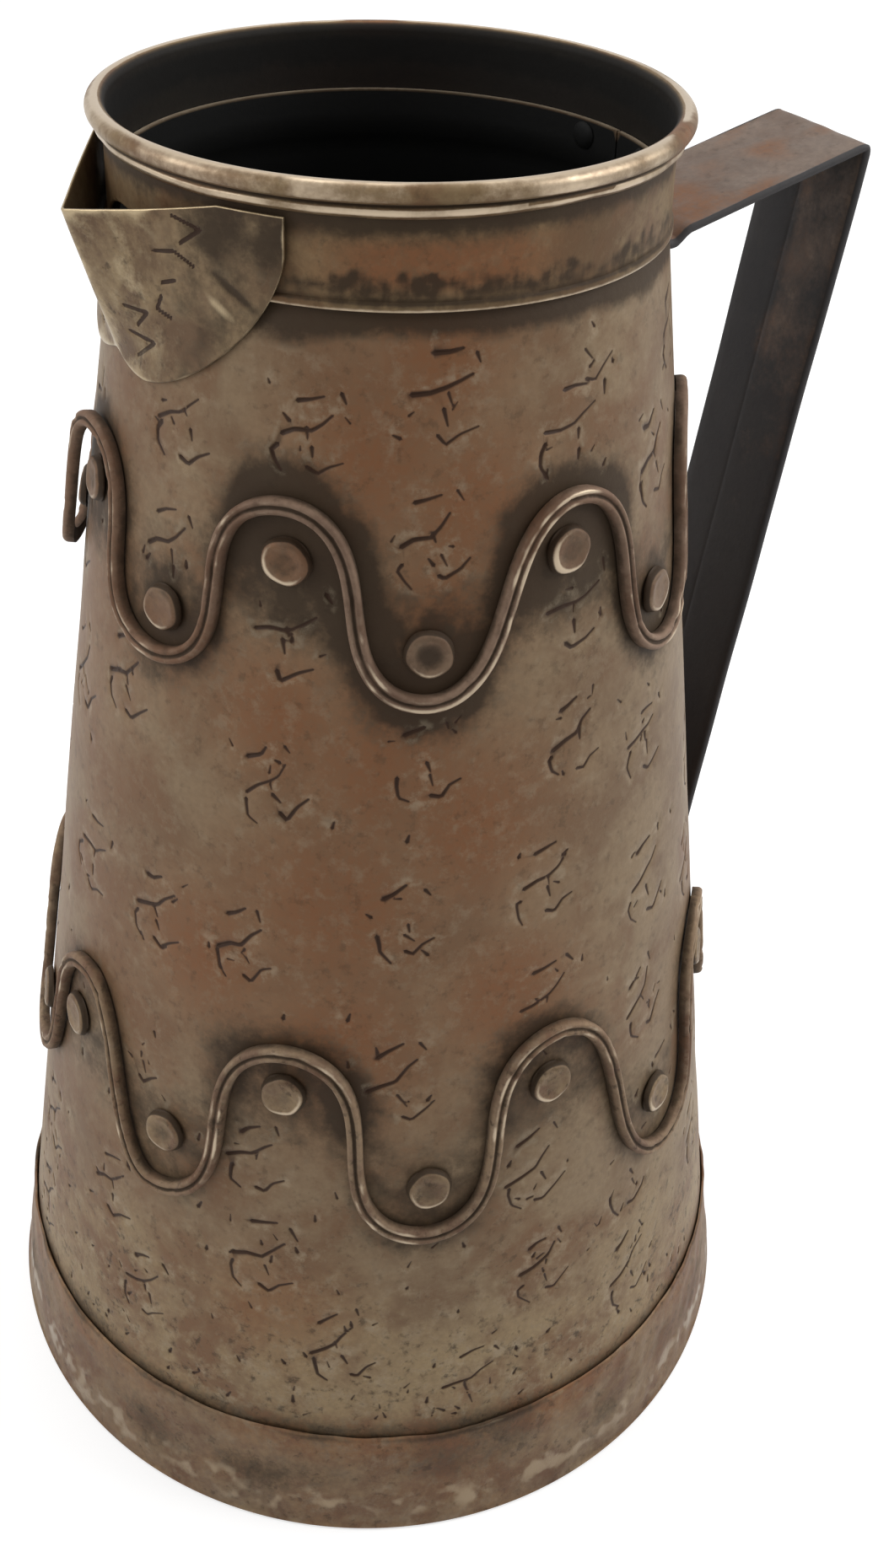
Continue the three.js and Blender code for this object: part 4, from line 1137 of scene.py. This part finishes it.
# %% [markdown]
# Metal shows along the spout's edges and on its keel. A painted highlight lies on the swelling,
# and painted light on the side of each wall near the keel and on the top of the inner face. Painted
# shade lies in the crease, under the rim and deep inside the spout, and the walls grow darker towards
# the wings.

# %% Wear and painted light on the spout
def on_face(values):
    """Paint for the outer face of the spout, and 0 on its edges and inside."""
    layer = np.zeros(stations.shape[:2])
    layer[:, :rows] = values
    return layer


ring_z = stations[..., 2]
from_edge = np.abs(np.minimum(spout_top(turn) - ring_z, ring_z - spout_bottom(turn)))
near_edge = fade(np.minimum(from_edge, (SPOUT_WRAP - away) * 0.95), 0.6)
patchy = 0.5 + 0.5 * ripple(stations, 7, 42)
on_outer = on_face(1)
# The side of each wall near the keel, which is painted lighter: painted light.
lit_side = cap((18 - away) / 4) * on_outer
rub = 0.85 * near_edge * (0.6 + 0.4 * patchy) + 0.35 * fade(away, 1.3) * on_outer
# A painted highlight on the swelling, and painted light near the keel and on the top of the inner face.
rub = rub + 0.65 * on_face(swelling) + (0.25 + 0.25 * patchy) * lit_side
rub = rub + (1 - on_outer) * cap((ring_z - 274) / 8) * (0.4 + 0.3 * patchy)
# Painted shade under the rim, in the crease and deeper inside the spout; the walls also darken towards the
# wings.
under_rim = cap((away - 20) / 8) * cap((ring_z - 281) / 6)
soot = on_outer * (cap((away - 16) / 6) * (0.16 + 0.25 * patchy) + 0.35 * under_rim)
soot = soot + 0.7 * on_face(crease) + (1 - on_outer) * np.clip((286 - ring_z) / 14, 0, 0.5)
paint(spout, rub=cap(rub), mark=on_face(cap(1.4 * cuts)), soot=cap(soot))
# The pale crust on the side near the keel is painted light too.
paint(spout, crust=0.9 * lit_side * cap(0.6 + 0.5 * patchy))
settle(spout, "spout", "spout_sheet")

# %% [markdown]
# ## The wave straps
# The straps are square bars with a groove rolled down the middle, so two ridges catch the light
# with a dark line between them. The section is drawn once and carried along the wave, with small
# nicks hammered in the ridges. One loop of the upper strap has sprung off the cone.

# %% Wave straps
STRAP_HALF, STRAP_HEIGHT = 1.6, 2.4
SPRUNG_ANGLE, SPRUNG_SPREAD, SPRUNG_LIFT = 162, 20, 2.1


def mirrored(half, sign=1):
    """Numbers from one edge of the strap's section to its middle, and on to the other edge."""
    return np.array(half + [sign * v for v in half[-2::-1]])


across_share = mirrored([-1, -1, -0.93, -0.8, -0.66, -0.5, -0.32, -0.16, 0], -1)
height_share = mirrored([0, 0.6, 0.78, 0.9, 0.98, 1, 0.94, 0.82, 0.76])
ridge_share = mirrored([0, 0, 0.2, 0.5, 0.9, 1, 0.6, 0.1, 0])
groove_share = mirrored([0.9, 0.4, 0.1, 0, 0, 0, 0.2, 0.8, 1])


def sprung(degrees):
    """How far the strap has sprung off the cone."""
    away = np.minimum(np.abs(turn_from(degrees, SPRUNG_ANGLE)) / SPRUNG_SPREAD, 1)
    return SPRUNG_LIFT * (1 + np.cos(away * math.pi)) / 2


for row, (bends, closed) in lines.items():
    degrees, z = wave_line(bends, closed, 44)
    lift = sprung(degrees) if row == "upper" else 0 * degrees
    centres = around(cone_radius(z) + FIT + lift, degrees, z)
    ahead, behind = np.roll(centres, -1, 0), np.roll(centres, 1, 0)
    if not closed:
        ahead[-1], behind[0] = centres[-1], centres[0]
    along = unit(ahead - behind)
    outward = unit(around(np.ones(len(z)), degrees, np.full(len(z), SLOPE)))
    sideways = unit(np.cross(outward, along))
    stations = centres[:, None] + sideways[:, None] * (across_share * STRAP_HALF)[None, :, None]
    stations = stations + outward[:, None] * (height_share * STRAP_HEIGHT)[None, :, None]
    nicks = cap(ripple(stations, 4, 51) - 0.55) * 0.35 + 0.05 * (1 + ripple(stations, 11, 52))
    stations = stations - outward[:, None] * (nicks * (height_share > 0.5))[..., None]
    strap = make_piece(f"{row}_wave_bar", stations, loft(stations, closed), crease=45)
    worn = 0.3 * ripple(stations, 26, 53) + 0.25 * ripple(stations, 5, 54)
    angle = degrees[:, None]
    # On two legs in front, one side of the strap carries a painted highlight as well as wear.
    if row == "upper":
        worn = worn + 0.5 * bump(angle - 255, 11, 4) * (across_share < 0)
        worn = worn + 0.4 * bump(angle - 277, 6, 4) * (across_share > 0)
    paint(strap, rub=cap(ridge_share * (0.35 + worn)), soot=cap(groove_share * (0.7 - 0.4 * worn)))
    paint(strap, crust=0 * worn + (0.7 if row == "lower" else 0.1))
    settle(strap, f"{row}_wave_strap", "strap_metal")

# %% [markdown]
# ## The studs
# A stud is a domed rivet: its head was struck flat in the middle, so a rounded rim stands round a
# slightly sunken face. The shank goes through the sheet and ends in a hammered tail. Each one gets
# its own dents and wear, because no two struck heads match. The rim of each head carries a painted
# highlight on its lower side and painted shade on its upper side, and the tail inside the jug is
# painted near-black shade.

# %% Studs
TILT = math.atan(SLOPE)
SHANK_RADIUS = 1.6
HEAD = [
    (0, 0.92), (0.3, 0.92), (0.5, 0.96), (0.62, 1.04), (0.72, 1.09), (0.8, 1.05), (0.88, 0.9),
    (0.94, 0.64), (0.98, 0.34), (1.0, 0.1),
]
# What the photo shows of three heads: added soot, rub and rust.
OWN_LOOK = {
    "upper_valley_stud_2": (0.5, -0.2, 0),
    "upper_crest_stud_3": (0.2, 0.35, 0),
    "upper_crest_stud_2": (0, 0, 0.5),
}


def stud_profile(radius, height, grip):
    """Profile of a stud from the tail to the crown, as radius and height above the sheet."""
    tail = [(0, -grip - 0.8), (SHANK_RADIUS, -grip - 0.7), (2.6, -grip - 0.3), (2.9, -grip)]
    shank = [(SHANK_RADIUS, z) for z in (-grip, -0.05, 0)] + [(radius * 0.97, 0)]
    return tail + shank + [(r * radius, h * height / 1.1) for r, h in HEAD[::-1]]


def seat_matrix(degrees, radius, z, tilt):
    """Turns a piece made on the axis so that its top points out of the wall, its y axis up the wall."""
    turn = math.radians(degrees)
    out = Vector((math.cos(turn) * math.cos(tilt), math.sin(turn) * math.cos(tilt), math.sin(tilt)))
    tangent = Vector((-math.sin(turn), math.cos(turn), 0))
    frame_axes = Matrix((tangent, out.cross(tangent), out)).transposed().to_4x4()
    return Matrix.Translation((radius * math.cos(turn), radius * math.sin(turn), z)) @ frame_axes


def make_stud(node, degrees, seat_radius, z, tilt, radius, height, grip, seed):
    """One stud in its seat, with its own dents and wear."""
    points, faces = spin(stud_profile(radius, height, grip), 44)
    rng = np.random.default_rng(seed)
    head = points[:, 2] > 0.01
    share = np.hypot(points[:, 0], points[:, 1]) / radius
    angle = np.arctan2(points[:, 1], points[:, 0])
    oval = 0.04 * np.cos(2 * (angle - rng.uniform(0, 3)))
    oval = oval + 0.02 * np.cos(5 * (angle - rng.uniform(0, 3)))
    points[:, :2] *= 1 - (head * (0.03 + oval) * share)[:, None]
    lumps = 0.1 * (ripple(points, 3.2, seed + 100) - 1) * head * (1 - share**4)
    points[:, 2] = np.maximum(points[:, 2] + lumps, np.where(head, 0.05, points[:, 2]))
    # A painted highlight on the lower side of the rim and painted shade on its upper side.
    highlight_side = np.cos(angle + math.pi / 2 - rng.normal(0, 0.35))
    rim = bump(share - 0.8, 0.13) * head
    dish = bump(share, 0.58, 4) * head
    more_soot, more_rub, rust = OWN_LOOK.get(node, (0, 0, 0))
    rub = rim * (0.4 + 0.5 * highlight_side + rng.uniform(-0.3, 0.15) + more_rub)
    soot = dish * (rng.uniform(0.1, 0.45) + more_soot) - 0.3 * rim * highlight_side + (share > 0.93) * 0.9
    # The tail, inside the jug, is painted near-black shade.
    tail = points[:, 2] < -0.9
    place = np.array(seat_matrix(degrees, seat_radius, z, tilt))
    points = points @ place[:3, :3].T + place[:3, 3]
    stud = make_piece(node + "_head", points, faces, crease=60)
    crust = 0.8 if "lower" in node else 0.1
    paint(stud, rub=cap(rub), soot=cap(soot), glow=rust * head, crust=crust * head, inside=tail)
    settle(stud, node, "stud_metal")


BIG_HEAD, SMALL_HEAD = (4.9, 1.7), (3.0, 1.5)
for i, (node, degrees, z) in enumerate(stud_seats):
    seat = float(cone_radius(z)) + FIT
    make_stud(node, degrees, seat, z, TILT, *BIG_HEAD, BODY_SHEET + 2 * FIT, 300 + i)
for i, (node, degrees, z) in enumerate(tab_seats):
    if "upper" in node:
        seat, tilt = TAB_INNER + HANDLE_SHEET + FIT, 0
        grip = seat - (NECK_RADIUS - BODY_SHEET - FIT)
    else:
        seat, tilt = float(cone_radius(z)) + HANDLE_SHEET + 2 * FIT, TILT
        grip = BODY_SHEET + HANDLE_SHEET + 3 * FIT
    make_stud(node, degrees, seat, z, tilt, *SMALL_HEAD, grip, 400 + i)

# %% [markdown]
# ## The handle
# The handle is one strap of folded sheet. It lies flat on the collar, bends out and up a little,
# turns a sharp corner and slants back down to the cone, where it ends in a second tab. The path is
# a line of its outer face in side view, with an arc at each fold. At every step along it the
# section is drawn: curved like the wall on the tabs, flat on the legs, with rounded edges. A
# shallow line along the inner face is where the two folded hems meet.

# %% Handle path
LANDING_LEVEL = 98.4
ROOT = np.array([TAB_INNER + HANDLE_SHEET, ROOT_LEVEL])
CORNER = np.array([109.25, 281.2])
LANDING = np.array([float(cone_radius(LANDING_LEVEL)) + FIT + HANDLE_SHEET, LANDING_LEVEL])
TAB_TOP = np.array([ROOT[0], 291.0])
TAB_END = LANDING + np.array([SLOPE, -1.0]) * 24


def filleted(corners, bends, step):
    """Points along straight runs joined by arcs."""
    path = []
    for i, corner in enumerate(corners):
        if bends[i] == 0:
            path.append(corner)
            continue
        before, after = unit(corner - corners[i - 1]), unit(corners[i + 1] - corner)
        half = math.acos(np.clip(before @ after, -1, 1)) / 2
        cut = bends[i] * math.tan(half)
        start, end = corner - before * cut, corner + after * cut
        for t in np.linspace(0, 1, max(4, int(half * 14))):
            path.append((1 - t) ** 2 * start + 2 * t * (1 - t) * corner + t**2 * end)
    path = np.array(path)
    length = mileage(path)
    place = np.unique(np.concatenate([np.arange(0, length[-1], step), length]))
    return np.stack([np.interp(place, length, path[:, k]) for k in (0, 1)], 1), place


path, run = filleted([TAB_TOP, ROOT, CORNER, LANDING, TAB_END], [0, 1.0, 2.6, 6.0, 0], 1.2)
inward = -leftward(unit(np.gradient(path, run, axis=0)))
folds = [float(run[np.argmin(np.linalg.norm(path - spot, axis=1))]) for spot in (ROOT, CORNER, LANDING)]
root_run, corner_run, landing_run = folds
print("handle path", len(path), "steps,", round(float(run[-1]), 1), "mm; folds at", folds)

# %% Handle sheet
HANDLE_WIDTH = 31
HALF_SHEET, HALF_WIDTH = HANDLE_SHEET / 2, HANDLE_WIDTH / 2
HEM_PLACE, HEM_HALF, HEM_DEPTH = 2, 0.9, 0.09
leg = cap((run - root_run + 1) / 5) * cap((landing_run - run + 1) / 6)
bow = cap(1 - (run - root_run) / 4) * (run < corner_run) + cap((run - landing_run) / 12 + 1)
bow = np.where(run < root_run, 1, cap(bow))
low_radius = np.interp(run, [landing_run, run[-1]], [LANDING[0], TAB_END[0]])
bow_radius = np.where(run < corner_run, ROOT[0], low_radius)
on_hem = cap((run - corner_run - 7) / 2) * cap((landing_run - 12 - run) / 2)
uneven = ripple(np.stack([path[:, 0], 0 * run, path[:, 1]], 1), 35, 61)
half_width = HALF_WIDTH - 0.18 * (1 + uneven) - HALF_SHEET
top_share = np.linspace(-1, 1, 27)
low_y = [15.5, 13, 11, 9, 7, 5, 3.4, 2.75, 2.4, 2.2, 2, 1.8, 1.6, 1.25, 0.6, -1, -3, -5, -7, -9, -11]
low_y += [-13.4, -15.5]


def section_point(y, depth):
    """Points at a distance across the strap and a depth below its outer face."""
    sag = bow * (bow_radius - np.sqrt(np.maximum(bow_radius**2 - y**2, 1)))
    place = path + inward * (depth + sag)[:, None]
    return np.stack([place[:, 0], y, place[:, 1]], 1)


def edge_columns(sign, arc):
    """The rounded edge of the strap on one side."""
    turns = np.radians(arc)
    depths = HALF_SHEET * (1 - np.sin(turns))
    reaches = HALF_SHEET * np.cos(turns)
    return [section_point(sign * (half_width + reach), depth) for reach, depth in zip(reaches, depths)]


hem = [cap(1 - abs(y - HEM_PLACE) / HEM_HALF) * on_hem * HEM_DEPTH for y in low_y]
columns = [section_point(s * half_width, 0) for s in top_share]
columns += edge_columns(1, (60, 30, 0, -30, -60))
columns += [section_point(y / HALF_WIDTH * half_width, HANDLE_SHEET - h) for y, h in zip(low_y, hem)]
columns += edge_columns(-1, (-60, -30, 0, 30, 60))
stations = np.stack(columns, axis=1)
face = np.repeat([0, 1, 2, 1], [len(top_share), 5, len(low_y), 5])
on_top, on_edge, under = face == 0, face == 1, face == 2
dents = 0.1 * (ripple(stations, 18, 62) - 1) + 0.05 * (ripple(stations, 5, 63) - 1)
normal = -np.stack([inward[:, 0], 0 * run, inward[:, 1]], 1)
stations = stations + normal[:, None] * (dents * on_top * leg[:, None])[..., None]
handle = make_piece("handle_sheet", stations, loft(stations, False))

# The inner face is painted in shade: dark over one side of its width, greyer lower down and less where it
# rusts; the edges are painted dark.
side_share = cap((stations[..., 1] + 1) / 5)
upper_half = cap((stations[..., 2] - 190) / 60)
rusty = cap(0.5 + ripple(stations, 14, 66)) * bump(stations[..., 1] - 1, 3.5) * under * upper_half
grey_part = (1 - side_share) * (1 - upper_half)
shaded = 0.38 + 0.48 * side_share + 0.4 * grey_part + 0.1 * ripple(stations, 16, 65)
shaded = shaded * under * (1 - 0.3 * rusty)
worn = 0.3 * bump(run - corner_run, 4)[:, None] + 0.2 * ripple(stations, 26, 64)
glow = 0.8 * bump(run - root_run - 6, 16)[:, None] + 0.5 * ripple(stations, 12, 67)
paint(handle, rub=cap(worn * on_top), soot=cap(shaded + 0.85 * on_edge + 0.12 * on_top))
paint(handle, glow=cap(0.55 * rusty + glow * on_top))
settle(handle, "handle_strap", "handle_metal")

# %% [markdown]
# ## Floor, light and camera
# The photo was taken on a white sweep. A pale floor keeps the soft shadow and glows a little for
# the camera alone, so that it reads as white. The world is white to the camera and to reflections,
# and a soft grey from behind to in front for everything else, which darkens the jug's face and
# leaves its sides pale, as a light tent does.

# %% Floor
corners = np.array([[-1, -1, 0], [1, -1, 0], [1, 1, 0], [-1, 1, 0]], float)
floor_mesh = bpy.data.meshes.new("floor")
floor_mesh.from_pydata((corners * 8 - [0, 0, 0.0002]).tolist(), [], [[0, 1, 2, 3]])
floor = bpy.data.objects.new("floor", floor_mesh)
bpy.context.scene.collection.objects.link(floor)
floor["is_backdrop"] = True
FLOOR_GLOW = (0.62, 0.62, 0.62, 1)
sweep = Finish("sweep")
values = {"Base Color": (0.5, 0.5, 0.5, 1), "Roughness": 0.9, "Specular IOR Level": 0.0}
values |= {"Emission Color": sweep.blend(sweep.seen(), (0, 0, 0, 1), FLOOR_GLOW)}
values |= {"Emission Strength": 1.0}
surface = sweep.node("ShaderNodeBsdfPrincipled", None, values)
sweep.node("ShaderNodeOutputMaterial", None, {"Surface": surface})
floor_mesh.materials.append(sweep.material)

# %% World
FRONT = (-0.477, -0.879, 0.0)
WHITE, DIM = (1.0, 1.0, 1.0, 1), (0.15, 0.15, 0.15, 1)
world = bpy.data.worlds.new("light_tent")
world.use_nodes = True
bpy.context.scene.world = world
tent = Finish("light_tent", world.node_tree)
way_out = tent.node("ShaderNodeTexCoord", output="Generated")
dot = {"operation": "DOT_PRODUCT"}
forward = tent.node("ShaderNodeVectorMath", dot, [way_out, FRONT], output="Value")
grey = tent.blend(tent.rise(forward, -0.2, 0.95), WHITE, DIM)
values = {"Color": tent.blend(tent.seen(), grey, WHITE), "Strength": 1.0}
background = tent.node("ShaderNodeBackground", None, values)
tent.node("ShaderNodeOutputWorld", None, {"Surface": background})


# %% Lamps
MIDDLE = Vector((0, 0, 0.15))
for name, place, size, power in (
    ("right_box", (1.0, -0.55, 0.9), 0.7, 8.8),
    ("left_box", (-1.2, 0.3, 0.8), 0.8, 5.8),
    ("top_box", (0.1, 0.3, 1.5), 0.8, 4.0),
):
    lamp = bpy.data.lights.new(name, "AREA")
    lamp.shape, lamp.size, lamp.energy = "SQUARE", size, power
    holder = bpy.data.objects.new(name, lamp)
    holder.location = place
    holder.rotation_euler = (MIDDLE - Vector(place)).to_track_quat("-Z", "Y").to_euler()
    bpy.context.scene.collection.objects.link(holder)
    print("lamp", name, power, "watts")

# %% [markdown]
# The camera stands where the photograph was taken from. Its place and lens were found by fitting
# the rim, the foot and the handle of the CAD model to the picture.

# %% Camera
PICTURE_HEIGHT, SENSOR_HEIGHT = 1860, 36
FOCAL, CENTRE_Y = 2179.037, 600.0
BACK, UP = 0.34254, 0.39303
PITCH, ROLL, YAW, SWING = 0.4880209, 0.0371088, 0.0367815, math.radians(-28.5)
forward = Vector((math.sin(YAW) * math.cos(PITCH), math.cos(YAW) * math.cos(PITCH), -math.sin(PITCH)))
level = forward.cross(Vector((0, 0, 1))).normalized()
raised = level.cross(forward)
right = level * math.cos(ROLL) + raised * math.sin(ROLL)
upward = raised * math.cos(ROLL) - level * math.sin(ROLL)
axes = Matrix((right, upward, -forward)).transposed().to_4x4()
swing = Matrix.Rotation(SWING, 4, "Z")
camera_data = bpy.data.cameras.new("camera")
camera = bpy.data.objects.new("camera", camera_data)
camera.matrix_world = swing @ Matrix.Translation((0, -BACK, UP)) @ axes
camera_data.sensor_fit = "VERTICAL"
camera_data.sensor_height = SENSOR_HEIGHT
camera_data.lens = FOCAL * SENSOR_HEIGHT / PICTURE_HEIGHT
camera_data.shift_y = (CENTRE_Y - PICTURE_HEIGHT / 2) / PICTURE_HEIGHT
camera_data.clip_start, camera_data.clip_end = 0.01, 50
bpy.context.scene.collection.objects.link(camera)
bpy.context.scene.camera = camera
bpy.context.scene.view_settings.view_transform = "Standard"
place = [round(v, 3) for v in camera.matrix_world.translation]
print("camera at", place, "lens", round(camera_data.lens, 2))

# %% [markdown]
# Last come the two boxes, of the CAD model and of the visual one, which should agree closely.

# %% Sizes and the end
seen_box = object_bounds()
boxes = {"cad": cad_box, "visual": seen_box}
boxes = {name: [list(map(float, corner)) for corner in box] for name, box in boxes.items()}
print("boxes", boxes)
